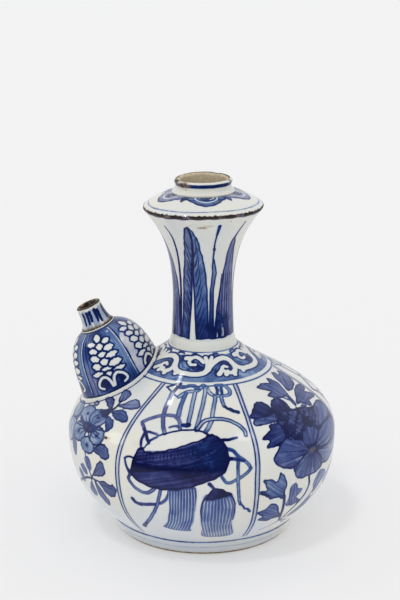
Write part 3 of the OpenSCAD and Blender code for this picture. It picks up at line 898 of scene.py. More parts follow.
def paint_body(c):
    """Six panels below the scroll band, lines on the foot, spots and the bare rim."""
    drawings = ((emblem, 0), (peony, 1), (emblem, 0), (peony, 1), (emblem, 0), (prunus, 5))
    for i, (drawing, home) in enumerate(drawings):
        c.turn = (i - home) * PANEL
        drawing(c)
    for i in range(PANELS):
        c.turn = i * PANEL
        panel_border(c)
    scroll_band(c)
    c.stroke(bead_line(BEAD_LINE), 0.75)
    c.ring(FOOT_LINE, 0.8, tone=0.55, waver=0.12)
    c.ring(PALE_LINE, 0.6, tone=0.12, waver=0.15)
    c.stains(((-46, 72.6), 1.3, 0.9, 0.8), ((-44.6, 72.8), 3.0, 1.8, 0.3), ((-30, 74), 3.0, 3.0, 0.2),
             ((17.6, 76), 3.0, 3.0, 0.14))
    c.bare = np.clip((GLAZE_EDGE - c.up) / GLAZE_EDGE, 0, 1)
    c.rust = np.maximum(c.rust, 0.62 * bell(c.up - 0.2, GLAZE_EDGE))


# Motifs of the neck, mouth and spout

LEAF_RIBS = 9


def neck_leaf(c):
    """A long leaf, feathered both ways from a dark rib that opens into a white wedge."""
    rib = [(-17.4, 66), (-15, 58), (-15.8, 50), (-17.2, 44), (-18.6, 39)]
    left = [(-25.2, 1.4), (-41.4, 1.4), (-40.6, 12), (-39.6, 22), (-38.4, 30), (-36.4, 36), (-33.4, 41),
            (-31.4, 44), (-30, 48), (-27.6, 52), (-26.4, 56), (-24, 60), (-21.6, 64)]
    right = [(-13.4, 1.4), (10.6, 1.4), (9.8, 12), (8.8, 20), (8, 27), (6, 33), (4.4, 38), (1, 43),
             (-1, 47), (-4.4, 51), (-6.2, 56), (-9, 59), (-12.6, 63)]
    c.violet = 0.6
    c.fill(left + rib + [(-22.6, 20)], 0.5, top=0.32, edge=0.8, grain=(-0.5, 0.87))
    c.violet = 0.0
    c.fill(right + rib + [(-16.2, 20)], 0.62, top=0.3, edge=0.8, grain=(0.5, 0.87))
    c.tint((0, 4), 40, 9, 0.92, 0.1)
    c.violet = 0.8
    c.stroke(rib, 0.8, 2.0)
    c.violet = 0.2
    for i in range(LEAF_RIBS):
        low = 2 + 5.6 * i
        c.stroke([(-10 - i * 0.5, low), (-3 - i * 0.9, low + 5), (4 - i * 1.8, low + 11)], 0.75, 0.5)
        c.stroke([(-26 + i * 0.8, low), (-31 + i, low + 5), (-35 + i * 1.4, low + 9)], 0.75, 0.5)
    c.reserve([(-18.9, 41.6), (-17.0, 30), (-14.8, 17), (-13.4, 8), (-12.4, 1), (-26, 1), (-24.2, 12),
               (-21.6, 26)], edge=0.8)


def neck_stem_leaf(c):
    """A shorter leaf on a thin stem, with a dark clump at its foot."""
    c.violet = 0.8
    c.fill([(24, 1.4), (24.6, 12), (28, 20), (33, 28), (37, 35), (39.4, 42), (40.4, 49), (42, 54), (45, 58),
            (50, 54), (55, 47), (62, 38), (67, 30), (70, 21), (72, 11), (72.6, 1.4)], 0.42, top=0.38,
           edge=0.8)
    c.violet = 0.7
    c.stroke([(50.4, 67.4), (48.4, 62), (45.6, 57)], 0.8, 1.5)
    for x in (30, 36, 43, 50, 58):
        c.stroke([(x, 10), (x + 3 - (x - 30) * 0.1, 24), (x + 5 - (x - 30) * 0.25, 36)], 1.0, 0.6, tone=0.7)
    c.violet = 0.15
    c.fill([(22, 1.4), (22.6, 8), (26, 14.4), (31, 16), (36, 13.4), (44, 12.4), (51, 14.4), (55, 7),
            (55, 1.4)], 0.97, top=0.86, edge=0.6)
    for x, high in ((27, 5), (38, 9), (41, 7)):
        c.scrape([(x, 2.4), (x + 0.6, high)], 0.6, 0.4)


def neck_blade(c):
    """A thin blade between two leaves, beaded at its tip."""
    c.violet = 0.2
    c.fill([(20.4, 1.6), (11, 1.6), (12.6, 14), (12.8, 26), (14.6, 31), (16, 36), (15.4, 42), (16.6, 46),
            (19.4, 43), (23.6, 38), (22.6, 33.6), (20.4, 29), (20, 20)], 0.86, top=0.22, edge=0.75)
    c.stroke([(17.8, 66.6), (17, 60)], 1.9, 1.2)
    c.stroke([(17, 60.6), (16.2, 54), (16.2, 45)], 0.8, 0.9)
    c.ellipse((16.4, 51), 1.7, 0.9, 0.97, edge=0.5)


def neck_thread(c):
    """A thin dark stem between two leaves."""
    c.stroke([(-47.4, 65), (-43.6, 56), (-43.8, 46), (-45, 35), (-45.6, 20), (-45, 1.6)], 0.8, 1.6)
    c.fill([(-50, 1.6), (-48, 12), (-46, 22), (-44, 12), (-41, 1.6)], 0.9, top=0.7, edge=0.5)


def worn_share(c):
    """How brown, and not blue, the worn edge of the flange is on the way round."""
    return np.clip(0.75 + 0.55 * wave(c.around, 3, -20) * wave(c.around, 17), 0, 1)


# Where the painting of the neck begins, and its worn upper edge, mm up and mm below the flange
NECK_START = 1.5
WORN_LINE = 0.4
WORN_WIDTH = 1.7
WORN_FROM = 1.2


def paint_neck(c):
    """Upright leaves, three times round, and the worn edge of the flange."""
    for c.turn in range(0, 360, 120):
        neck_stem_leaf(c)
        neck_blade(c)
        neck_thread(c)
        neck_leaf(c)
    c.turn = 0.0
    c.violet = 0.6
    c.clear(c.all, c.up - NECK_START - 0.3 * wave(c.around, 11) * wave(c.around, 5, 50))
    c.ring(neck.length - WORN_LINE, WORN_WIDTH, waver=0.2, waves=23)
    c.rust = worn_share(c) * np.clip((c.up - neck.length + WORN_FROM) / 0.4, 0, 1)
    c.stains(((-1, 65.8), 8, 1.0, 0.5), ((6, 67), 8, 0.8, 0.4), ((-14, 67.2), 7, 0.8, 0.3),
             ((29, 69.4), 1.2, 0.5, 0.6))


LAPPETS = 5
DOME_LINE = 3.1


def lappet(c, front):
    """A pointed lappet that hangs from the collar; the front one is a deeper blue."""
    top = dome.length
    c.violet = 0.1 if front else 0.8
    c.fill([(-34, top + 2), (-31, 13.6), (-21, 11.4), (-11, 8.8), (0, 7.6), (11, 8.8), (21, 11.4),
            (31, 13.6), (34, top + 2)], 0.5 if front else 0.28, edge=1.2 if front else 0.9)
    c.scrape([(-21, top + 1), (-17, 14), (-9, 11.8), (0, 11), (9, 11.8), (17, 14), (21, top + 1)], 0.8)
    c.ellipse((0, 15.2), 9, 2.4, 0.7, edge=0.8)
    c.scrape([(5, 13.6), (11, 15), (14, 17)], 0.7)
    c.fill([(31, 15), (33, 12.4), (36, 10.7), (39, 12.4), (41, 15), (36, 17)], 0.7)


def paint_dome(c):
    """Lappets round the collar, a pale line and the worn edge."""
    for i in range(LAPPETS):
        c.turn = 5 + i * 360 / LAPPETS
        lappet(c, front=i == 0)
    c.turn = 0.0
    c.violet = 0.2
    c.ring(DOME_LINE, 0.65, tone=0.26, waver=0.1)
    worn = 0.35 + 0.26 * wave(c.around, 9) * wave(c.around, 37, 20)
    worn += 0.3 * wave(c.around, 71, 10) * wave(c.around, 4, 70)
    c.ink(c.all, c.up - worn)
    c.tone[c.up < 2.5] = 0.9
    c.rust = np.clip(worn + 0.5 - c.up, 0, 1) * worn_share(c)


# The collar, mm up along it: the dark band and line below the lip, and where the bare inside begins
LIP_BAND = 5.2
LIP_LINE = 4.7
LIP_TOP = 8.0


def paint_collar(c):
    """Dark band under the lip, a worn and chipped edge, and bare clay inside."""
    c.violet = 0.1
    c.ring(LIP_BAND, 1.9, tone=0.96)
    c.ring(LIP_LINE, 0.8)
    c.stains(((-46, 5.8), 19, 2.7, 0.58), ((-40, 6.4), 9, 1.6, 0.66), ((-38, 3.2), 3, 0.9, 0.4),
             ((-74, 7.2), 26, 2.0, 0.6), ((-108, 7.2), 30, 1.5, 0.7), ((70, 7), 5, 0.8, 0.7))
    c.bare = np.clip((c.up - LIP_TOP + 0.1) / 0.8, 0, 1)
    far_side = (1 - np.cos(np.radians(c.around + 30))) / 2
    c.rust = np.maximum(c.rust, 0.24 * c.bare)
    c.rust = np.maximum(c.rust, 0.8 * far_side * bell(c.up - LIP_TOP, 0.8))


# Scales of the bulb's cones: angle, mm up, half width, half height and tilt
SCALES = ((-14.6, 36.7, 8.6, 1.5, -0.4), (-13, 32.8, 7.6, 1.7, -0.4), (-13, 28.8, 7.4, 1.9, -0.6),
          (-12.6, 24.5, 7.6, 1.9, -0.6), (-16, 20.7, 8, 1.4, 0.1), (-0.6, 39.4, 7.4, 2.5, 0),
          (0.8, 34.4, 7, 1.8, 0), (0.4, 30.1, 6.8, 1.5, 0), (-0.4, 26, 6.2, 1.8, 0),
          (-0.6, 22.3, 8, 1.2, -0.2), (-0.8, 19.1, 5.6, 1.6, 0), (14, 36.5, 7.6, 1.6, 0.3),
          (14, 32.4, 8.2, 1.7, 0.1), (14, 28.4, 9, 1.5, 0.2), (14, 23.9, 9, 1.9, 0.2),
          (15.6, 20.2, 8.6, 1.3, 0.1))
SCALE_SHAPE = ((-1, 0.1), (-0.62, 0.74), (-0.1, 1), (0.5, 0.82), (1, 0.1), (0.6, -0.62), (0, -1),
               (-0.6, -0.62))
SCALE_WIDER = 1.24
SCALE_TALLER = 1.3


def bulb_panel(c, pale):
    """A cone of white scales over two scrolls; in the panel that mirrors the neck the ground is left nearly
    white, a painted reflection of the neck's white over a thin violet wash.
    """
    # Painted reflection: the white neck mirrored in the glaze, laid as a thin pale violet wash over the blue
    # ground
    if pale:
        c.violet = 0.9
        c.fill([(-34, 11), (-34.4, 24), (-34, 33), (-26, 36), (-19, 31), (-22, 20), (-24, 11)], 0.08,
               edge=0.0, streaked=False)
        c.fill([(-8, 10), (10, 10), (30, 18), (30, 34), (20, 38), (20, 24)], 0.08, edge=0.0, streaked=False)
    else:
        c.tint((27, 27), 6, 9, 0.28, 0.0)
        c.tint((30, 14), 7, 5, 0.7, 0.0)
        c.tint((-30, 18), 8, 10, 0.34, 0.9)
        c.tint((-26, 34), 7, 6, 0.72, 0.1)
        c.tint((0, 30), 17, 13, 0.95, 0.1)
    c.tint((0, 45), 22, 5, 0.84, 0.2)
    c.tint((4, 12), 20, 3, 0.9, 0.2)
    c.violet = 0.15
    for x, up, wide, high, tilt in SCALES:
        wide, high = SCALE_WIDER * wide, SCALE_TALLER * high
        c.reserve([(x + wide * a, up + high * b + tilt * a) for a, b in SCALE_SHAPE], edge=0.9)
    for side in (-1, 1):
        c.ellipse((side * 9.6, 15.4), 6.6, 2.6, 1.0, edge=0.5)
    c.stroke([(36.6, 8), (36.9, 25), (37.2, 36), (39, 46)], 1.2)
    c.scrape([(34.4, 12), (34.6, 25), (34.8, 36), (35.8, 44)], 0.5, 0.6)


# Panels of the bulb, from the angle of the first; the second of them is left pale as a painted reflection of
# the white neck
BULB_PANELS = 5
BULB_START = -4
NECK_REFLECTION_PANEL = 1
BULB_EDGE = 2.0


def paint_bulb(c):
    """Blue panels of white scales and scrolls, one of them pale with a painted reflection, over a dark edge.
    """
    c.violet = 0.15
    c.ink(c.all, np.full(len(c.up), -FAR), 0.41)
    c.comb = c.around * 0.3
    turns = [i * 360 / BULB_PANELS + BULB_START for i in range(BULB_PANELS)]
    for i, c.turn in enumerate(turns):
        bulb_panel(c, pale=i == NECK_REFLECTION_PANEL)
    scroll = [(1.4, 13), (3.4, 16.6), (9.6, 18.6), (17.4, 17), (20.6, 14), (15, 12.6)]
    c.vine(turns, [([(side * x, up) for x, up in scroll], 1.4, 1.0) for side in (-1, 1)], outline=0.95)
    c.ink(c.all, c.base - BULB_EDGE - 0.6 * wave(c.around, 13) * wave(c.around, 5))
    c.ring(bulb.length - 0.3, 1.0)


# Strokes of the nozzle: angle, lower and upper end; and its pale washes: angle and width
NOZZLE_STROKES = ((-37, 3.4, 9.4), (-17, 3.6, 9.5), (-2, 4.6, 9.6), (22, 3.8, 10), (36, 2.8, 9),
                  (70, 1.6, 9.4), (98, 3, 9.6), (118, 4, 9), (143, 3, 9.8), (160, 4.2, 9.4),
                  (190, 2.6, 9.6), (214, 3.6, 9.2), (236, 3, 9.8), (272, 2, 9.4))
NOZZLE_WASHES = ((-28, 5.0), (9, 3.6), (50, 3.4), (-60, 4.0), (108, 4.4), (176, 4.6), (-122, 4.0))


def paint_nozzle(c):
    """Bold upright strokes, a dark wash of painted shade down the right side, brown glaze in patches at the
    root and a thin brown lip.
    """
    c.violet = 0.2
    # Painted shade: a dark navy wash down the nozzle's right side
    c.fill([(64, 1), (66, 9.4), (82, 9.8), (88, 1)], 0.95, edge=0.6)
    for at, width in NOZZLE_WASHES:
        c.stroke([(at, 0.6), (at, 9.6)], width, 0.7 * width, tone=0.14)
    for at, low, high in NOZZLE_STROKES:
        stroke = [(at - 2, low), (at, (low + high) / 2), (at + 1, high)]
        c.stroke(stroke, 1.2, 1.7, tone=1.0)
        c.stroke(stroke, 1.0, 1.5)
    past_lip = c.up - nozzle.length
    c.bare = np.clip((past_lip - 1.0) / 0.8, 0, 1)
    c.rust = 0.9 * bell(past_lip - 0.7, 0.6) + 0.54 * c.bare
    ragged = wave(c.around, 7, 100) * wave(c.around, 3, 50)
    c.rust += bell(c.up, 2.1 + 0.6 * ragged) * (0.6 + 0.06 * wave(c.around, 31))


# Meshes: rings of points round an axis, joined in order

class Ring:
    """Points round the axis at one level, with their place along the painted outline if there is one."""

    def __init__(self, r, z, count, up=None):
        self.count = count
        self.angle = np.arange(count) * 360 / count
        self.r = np.broadcast_to(np.array(r, float), count)
        self.z = np.broadcast_to(np.array(z, float), count)
        self.up = np.broadcast_to(np.array(np.nan if up is None else up, float), count)


def rows(outline, start, end, columns, step=ROW):
    """Rings along an outline; columns may depend on the radius."""
    count = max(int(math.ceil(abs(end - start) / step)), 1)
    rings = []
    for s in np.linspace(start, end, count + 1):
        r, z = outline.at(s)
        rings.append(Ring(r, z, columns(r) if callable(columns) else columns, up=s))
    return rings


def plain(points, columns):
    """Unpainted rings through the points of a section."""
    return [Ring(r, z, columns) for r, z in points]


def stepped(rings):
    """Adds rings where a neighbour has over twice as many points, so that faces stay even."""
    done = [rings[0]]
    for ring in rings[1:]:
        while done[-1].count > 2 * ring.count > 2 or ring.count > 2 * done[-1].count > 2:
            last = done[-1]
            count = last.count // 2 if last.count > ring.count else last.count * 2
            done.append(Ring((last.r[0] * 3 + ring.r[0]) / 4, (last.z[0] * 3 + ring.z[0]) / 4, count))
        done.append(ring)
    return done


def bridge(a, b, na, nb):
    """Faces between a ring of na points from number a on and one of nb points from number b on."""
    k = np.arange(max(na, nb))
    if na == nb:
        n = (k + 1) % na
        return [np.stack([a + k, a + n, b + n, b + k], 1)]
    if nb == 1:
        return [np.stack([a + k, a + (k + 1) % na, np.full(na, b)], 1)]
    if na == 1:
        return [np.stack([np.full(nb, a), b + (k + 1) % nb, b + k], 1)]
    small = np.arange(min(na, nb))
    nxt = (small + 1) % len(small)
    even, odd, after = 2 * small, 2 * small + 1, (2 * small + 2) % len(k)
    if na > nb:
        return [np.stack([a + even, a + odd, b + small], 1), np.stack([a + odd, b + nxt, b + small], 1),
                np.stack([a + odd, a + after, b + nxt], 1)]
    return [np.stack([a + small, b + odd, b + even], 1), np.stack([a + small, a + nxt, b + odd], 1),
            np.stack([a + nxt, b + after, b + odd], 1)]


def settled(p):
    """The unevenness of a thrown and fired pot, the same for every piece."""
    lean = np.clip((p[:, 2] - NECK_Z) / (FLANGE_Z - NECK_Z), 0, 1) ** 2
    sag = (p[:, 1] ** 2 - p[:, 0] ** 2) / FLANGE_R ** 2
    out = p.copy()
    out[:, 0] += np.interp(p[:, 2], *np.transpose(OFF_CENTRE))
    out[:, 2] += lean * (p[:, 0] * math.tan(FLANGE_TILT) + FLANGE_SADDLE * sag)
    return out


UPRIGHT = (np.zeros(3), np.array([0, -1.0, 0]), np.array([1.0, 0, 0]), np.array([0, 0, 1.0]))


def unroll(mesh, faces, u, v):
    """A map of the surface for baking: round the axis across, along the section up."""
    layer = mesh.uv_layers.new(name="OFBake")
    flat = []
    for group in faces:
        fu, fv = u[group], v[group]
        fu = np.where((np.ptp(fu, axis=1) > 0.5)[:, None] & (fu < 0.25), fu + 1, fu)
        fv = np.where((np.ptp(fv, axis=1) > 0.5)[:, None] & (fv < 0.25), fv + 1, fv)
        flat.append(np.stack([fu, fv], 2).reshape(-1, 2))
    layer.data.foreach_set("uv", np.clip(np.vstack(flat), 0, 1).astype(np.float32).ravel())


def turned(node, rings, material, paint=None, place=UPRIGHT, base=None):
    """A closed piece through the rings, painted, that stands for the node."""
    rings = stepped(rings)
    starts = np.concatenate([[0], np.cumsum([ring.count for ring in rings])]).astype(int)
    angle, r, z, up = (np.concatenate([getattr(ring, key) for ring in rings])
                       for key in ("angle", "r", "z", "up"))
    origin, front, right, axis = place
    turn = np.radians(angle)[:, None]
    points = origin + z[:, None] * axis + r[:, None] * (np.cos(turn) * front + np.sin(turn) * right)
    faces = []
    for i in range(len(rings)):
        j = (i + 1) % len(rings)
        if rings[i].count > 1 or rings[j].count > 1:
            faces += bridge(starts[i], starts[j], rings[i].count, rings[j].count)
    mesh = bpy.data.meshes.new(node + "_glazed")
    mesh.from_pydata((settled(points) * MM).tolist(), [], [f for group in faces for f in group.tolist()])
    middles = np.array([[ring.r.mean(), ring.z.mean()] for ring in rings])
    walk = np.linalg.norm(np.diff(middles, axis=0, append=middles[:1]), axis=1)
    share = np.concatenate([[0], np.cumsum(walk)[:-1]]) / walk.sum()
    unroll(mesh, faces, angle / 360, np.repeat(share, [ring.count for ring in rings]))
    painted = ~np.isnan(up)
    canvas = Canvas(angle[painted], up[painted], r[painted])
    if base is not None:
        canvas.base = canvas.up - np.interp(canvas.around, *base, period=360)
    if paint:
        paint(canvas)
    for name, blank in LAYERS.items():
        values = np.full(len(up), blank)
        values[painted] = getattr(canvas, name)
        mesh.attributes.new(name, "FLOAT", "POINT").data.foreach_set("value", values.astype(np.float32))
    mesh.shade_smooth()
    mesh.set_sharp_from_angle(angle=SHARP)
    piece = bpy.data.objects.new(node + "_glazed", mesh)
    bpy.context.scene.collection.objects.link(piece)
    mesh.materials.append(material)
    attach(piece, "root")
    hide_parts(node)


# Materials

def srgb(*shown):
    """Linear colour from the 0 to 255 values that a picture shows."""
    parts = [value / 255 for value in shown]
    return tuple(c / 12.92 if c <= 0.04045 else ((c + 0.055) / 1.055) ** 2.4 for c in parts) + (1.0,)


GLAZE = srgb(217, 217, 212)
GLAZE_BLUE = srgb(209, 212, 210)
GLAZE_WARM = srgb(220, 216, 201)
GLAZE_LOW = srgb(206, 211, 215)
BISCUIT = srgb(214, 204, 180)
BISCUIT_DARK = srgb(196, 185, 160)
RUST_THIN = srgb(176, 146, 100)
RUST_THICK = srgb(52, 43, 40)
# Fineness of each unevenness, in turns to the metre, and how much of it counts
POOLS = 22.0
POOLS_SHOW = (0.42, 0.68)
WARM_PATCHES = 30.0
WARM_SHOWS = (0.46, 0.66)
HUE_PATCHES = 45.0
STRAND_SWAY = 90.0
CLOUDS = 110.0
DULL_PATCHES = 140.0
DULL_SHOWS = (0.3, 0.7)
ORANGE_PEEL = 160.0
FRAYED_EDGES = 420.0
RUST_SPOTS = 480.0
CLAY_GRIT = 900.0
# Heights in metres between which the glaze turns bluer downwards, and how warm it is where it is thin
GLAZE_RUNS = (0.05, 0.012)
WARM_SHARE = 0.6
# Cobalt: what a full coat lets through, its drift to violet and how much darker it gets where it is heavy
COBALT_PASS = (0.0056, 0.0255, 0.1900)
COBALT_STOPS = 8
COBALT_HEAVY = 0.35
VIOLET_TINT = (1.1, 0.32, 0.5, 1.0)
VIOLET_GAIN = 1.35
VIOLET_DRIFT = 0.7
# Wash: its edge and the rim where it pools, in mm, how ragged, pooled, brushed and clouded it is
WASH_EDGE = (0.28, -0.32)
WASH_RAGGED = 0.5
POOL_EDGE = (-1.4, -0.1)
POOLED = 0.22
BRUSH_SWAY = 1.4
BRUSHED = 1.5
BRUSHED_DARK = 0.45
CLOUDED = 1.1
THINNEST = 0.15
STRAND_GAP = (0.1, 1.0)
# Line: its edge in mm, how ragged and clouded it is, its darkness alone and over a wash, and its halo
LINE_EDGE = (0.25, -0.25)
LINE_RAGGED = 0.24
LINE_CLOUDED = 0.8
LINE_DENSITY = 0.84
LINE_OVER_WASH = 0.32
BLEED = 0.03
BLEED_WIDTH = 1.1
# Rust: how spotty it is, and the amounts between which it begins to show and is thick
RUST_SPOTTY = 1.2
RUST_SHOWS = (0.08, 0.62)
RUST_THICKENS = (0.2, 0.6)
# Surface: mirror strength, roughness of the glaze and of what is bare or rusty, peel and grit of the bump
GLOSS = 0.3
GLAZE_IOR = 1.52
GLAZE_ROUGH = (0.06, 0.13)
BARE_ROUGH = 0.6
RUST_ROUGH = 0.7
BARE_EDGE = (0.35, 0.65)
BARE_RAGGED = 0.8
PEEL = 0.7
GRIT = 0.6
BUMP = {"Strength": 0.12, "Distance": 0.0004}


class Nodes:
    """Short ways to add and link shader nodes."""

    def __init__(self, owner):
        owner.use_nodes = True
        self.tree = owner.node_tree
        self.shader = self.tree.nodes.get("Principled BSDF")

    def new(self, kind, inputs=None, **settings):
        node = self.tree.nodes.new(kind)
        for name, value in settings.items():
            setattr(node, name, value)
        for name, value in (inputs or {}).items():
            self.put(node.inputs[name], value)
        return node

    def put(self, socket, value):
        if isinstance(value, bpy.types.NodeSocket):
            self.tree.links.new(value, socket)
        else:
            socket.default_value = value

    def math(self, operation, a, b=0.0, clamp=False):
        return self.new("ShaderNodeMath", {0: a, 1: b}, operation=operation, use_clamp=clamp).outputs[0]

    def plus(self, a, b, clamp=False):
        return self.math("ADD", a, b, clamp)

    def minus(self, a, b):
        return self.math("SUBTRACT", a, b)

    def times(self, a, b):
        return self.math("MULTIPLY", a, b)

    def span(self, value, low, high, to_low=0.0, to_high=1.0):
        inputs = {"Value": value, "From Min": low, "From Max": high, "To Min": to_low, "To Max": to_high}
        return self.new("ShaderNodeMapRange", inputs, interpolation_type="SMOOTHSTEP").outputs[0]

    def place(self, kind="Object"):
        return self.new("ShaderNodeTexCoord").outputs[kind]

    def attribute(self, name):
        return self.new("ShaderNodeAttribute", attribute_name=name).outputs["Fac"]

    def noise(self, scale, stretch=(1, 1, 1), detail=2.0, distortion=0.0):
        place = self.new("ShaderNodeMapping", {"Vector": self.place(), "Scale": stretch}).outputs[0]
        inputs = {"Vector": place, "Scale": scale, "Detail": detail, "Distortion": distortion}
        return self.new("ShaderNodeTexNoise", inputs).outputs["Fac"]

    def uneven(self, scale, stretch=(1, 1, 1), detail=2.0, distortion=0.0):
        """Noise that goes below nought as much as above it."""
        return self.minus(self.noise(scale, stretch, detail, distortion), 0.5)

    def mix(self, share, a, b, blend="MIX"):
        node = self.new("ShaderNodeMix", data_type="RGBA", blend_type=blend)
        self.put(node.inputs["Factor"], share)
        self.put(node.inputs[6], a)
        self.put(node.inputs[7], b)
        return node.outputs[2]


def glaze_colour(n):
    """Off-white glaze that turns bluish where it pools and runs down, and warm where it is thin."""
    pooled = n.span(n.noise(POOLS, detail=3.0), *POOLS_SHOW)
    warm = n.span(n.noise(WARM_PATCHES, (1, 1, 0.6), detail=3.0), *WARM_SHOWS)
    height = n.new("ShaderNodeSeparateXYZ", {0: n.place()}).outputs["Z"]
    colour = n.mix(n.span(height, *GLAZE_RUNS), n.mix(pooled, GLAZE, GLAZE_BLUE), GLAZE_LOW)
    return n.mix(n.times(warm, WARM_SHARE), colour, GLAZE_WARM)


def wash_density(n, ragged, clouds):
    """Cobalt of the washes: brushed, pooled at the edges, and parted into strands in the tassels."""
    tone = n.attribute("tone")
    bite = n.attribute("bite")
    wash = n.plus(n.attribute("wash"), n.times(ragged, WASH_RAGGED))
    pooled = n.span(wash, *POOL_EDGE, 0.0, POOLED)
    along = n.plus(n.attribute("comb"), n.times(clouds, BRUSH_SWAY))
    brush = n.new("ShaderNodeTexNoise", {"W": along, "Scale": 1.0, "Detail": 2.0}, noise_dimensions="1D")
    swing = n.span(tone, 0.4, 1.0, BRUSHED, BRUSHED_DARK)
    brushed = n.times(n.minus(brush.outputs["Fac"], 0.5), swing)
    turns = n.plus(n.attribute("strand"), n.noise(STRAND_SWAY))
    strands = n.span(n.math("SINE", n.times(turns, 2 * math.pi)), *STRAND_GAP)
    uneven = n.plus(n.plus(pooled, brushed), n.times(clouds, CLOUDED))
    uneven = n.minus(n.times(uneven, n.minus(1.0, bite)), n.times(strands, bite))
    coat = n.times(tone, n.math("MAXIMUM", n.plus(uneven, 1.0), THINNEST))
    return n.times(n.span(wash, *WASH_EDGE), coat)


def cobalt_density(n):
    """How much cobalt lies under the glaze, from the painted distances."""
    ragged = n.uneven(FRAYED_EDGES, detail=3.0)
    clouds = n.uneven(CLOUDS, detail=4.0, distortion=0.6)
    washed = wash_density(n, ragged, clouds)
    line = n.plus(n.attribute("line"), n.times(ragged, LINE_RAGGED))
    strength = n.plus(LINE_DENSITY, n.times(clouds, LINE_CLOUDED))
    strength = n.plus(n.times(n.attribute("tone"), LINE_OVER_WASH), strength)
    drawn = n.times(n.span(line, *LINE_EDGE), n.times(strength, n.attribute("force")))
    nearest = n.math("MINIMUM", n.attribute("line"), n.attribute("wash"))
    bled = n.span(nearest, BLEED_WIDTH, 0.0, 0.0, BLEED)
    return n.math("MAXIMUM", bled, n.math("MAXIMUM", washed, drawn), clamp=True)


def violet_tint(n):
    """The cobalt's drift from clear blue to a greyish violet."""
    drift = n.times(n.attribute("hue"), VIOLET_GAIN)
    drift = n.plus(drift, n.times(n.uneven(HUE_PATCHES), VIOLET_DRIFT), clamp=True)
    return n.mix(drift, (1.0, 1.0, 1.0, 1.0), VIOLET_TINT)


def cobalt_ramp(n, density):
    """Colour of the light that comes back through that much cobalt."""
    ramp = n.new("ShaderNodeValToRGB", {"Fac": density})
    elements = ramp.color_ramp.elements
    last = COBALT_STOPS - 1
    for i in range(COBALT_STOPS):
        at = i / last
        stop = elements[0] if i == 0 else elements[-1] if i == last else elements.new(at)
        stop.position = at
        stop.color = tuple(p ** at * (1 - COBALT_HEAVY * at ** 4) for p in COBALT_PASS) + (1.0,)
    return ramp.outputs["Color"]


def porcelain(name):
    """Glazed porcelain with underglaze painting, bare rims, rust spots and worn edges."""
    material = bpy.data.materials.new(name)
    n = Nodes(material)
    density = cobalt_density(n)
    clear = cobalt_ramp(n, density)
    cobalt = n.mix(density, clear, n.mix(1.0, clear, violet_tint(n), "MULTIPLY"))
    painted = n.mix(1.0, glaze_colour(n), cobalt, "MULTIPLY")
    grit = n.noise(CLAY_GRIT, detail=4.0)
    clay = n.mix(n.span(grit, *BARE_EDGE), BISCUIT, BISCUIT_DARK)
    bare = n.span(n.plus(n.attribute("bare"), n.times(n.minus(grit, 0.5), BARE_RAGGED)), *BARE_EDGE)
    rust = n.attribute("rust")
    spots = n.plus(rust, n.times(n.uneven(RUST_SPOTS, detail=4.0), n.times(rust, RUST_SPOTTY)))
    spotted = n.span(spots, *RUST_SHOWS)
    brown = n.mix(n.span(spots, *RUST_THICKENS), RUST_THIN, RUST_THICK)
    n.put(n.shader.inputs["Base Color"], n.mix(spotted, n.mix(bare, painted, clay), brown))
    dull = n.math("MAXIMUM", bare, n.times(spotted, RUST_ROUGH))
    glaze_rough = n.span(n.noise(DULL_PATCHES, detail=3.0), *DULL_SHOWS, *GLAZE_ROUGH)
    n.put(n.shader.inputs["Roughness"], n.plus(glaze_rough, n.times(dull, BARE_ROUGH)))
    n.shader.inputs["IOR"].default_value = GLAZE_IOR
    n.shader.inputs["Specular IOR Level"].default_value = GLOSS
    height = n.plus(n.times(n.noise(ORANGE_PEEL), PEEL), n.times(grit, n.times(bare, GRIT)))
    n.put(n.shader.inputs["Normal"], n.new("ShaderNodeBump", {"Height": height, **BUMP}).outputs[0])
    return material


painted_porcelain = porcelain("painted_porcelain")
glazed_slip = porcelain("glazed_slip")


# Pieces

foot_seam = body.arc_at(FOOT_TOP + SLIP_T / 2)
belly_seam = body.arc_at(BELLY_Z + SLIP_T / 2)
foot_inner_r = foot_r - FOOT_WALL
neck_angles = np.arange(NECK_COLUMNS) * 360 / NECK_COLUMNS

# Rings that carry the flat faces, in from their edge, under the floor and on it
FLAT_EDGE = 3
UNDERSIDE_R = (12, 26, foot_inner_r - FLAT_EDGE)
FLOOR_R = (24, 10)
# How far the inner faces stop short of a section's ends, and the foot's lower edge along its outline
END_GAP = 1
FOOT_UNDER = -0.8
# Luting: how the neck band tucks in, swells, falls and laps, and how far the slips stay back or stand out
BAND_TUCK = 0.7
BAND_SWELL = (0.5, 0.3)
BAND_FALL = 1.0
BAND_LAP = 0.1
BELLY_SLIP_IN = 1.0
FOOT_SLIP_IN = 0.6
NOZZLE_SLIP_OUT = 0.15
# The hollow of the dome, in from its edge and down
DOME_HOLLOW = (4, 1.5)
# Nibbled edge of the flange: depth, waves and shift; chips in the lip: angle, half width, depth
NIBBLES = ((0.12, 13, 0), (0.1, 41, 30), (0.08, 73, 80))
CHIP_RAGGED = 0.25
CHIP_WAVES = 47
LIP_CHIPS = ((-50, 12, 0.64), (-88, 14, 0.32), (66, 6, 0.48), (150, 8, 0.48))


def body_columns(r):
    """Points round the body, fewer near the axis."""
    return BODY_COLUMNS if r > FINE_FROM * BELLY_R else BODY_COLUMNS // 2


def inner_face(outline, wall, low, high):
    """Points of the inner face between two levels, from the top down."""
    inner = outline.moved_in(wall)
    return inner[(inner[:, 1] > low) & (inner[:, 1] < high)][::-INNER_EVERY]


def painted_piece(node, rings, paint, place=UPRIGHT, base=None):
    """A section of the pot with its painting."""
    turned(node, rings, painted_porcelain, paint, place, base)


def slip_piece(node, section, columns, place=UPRIGHT):
    """A ring of luting slip of the given section, open to view at most on its edge."""
    rings = [Ring(r, z, columns, up=i) for i, (r, z) in enumerate(section)]
    turned(node, rings, glazed_slip, None, place)


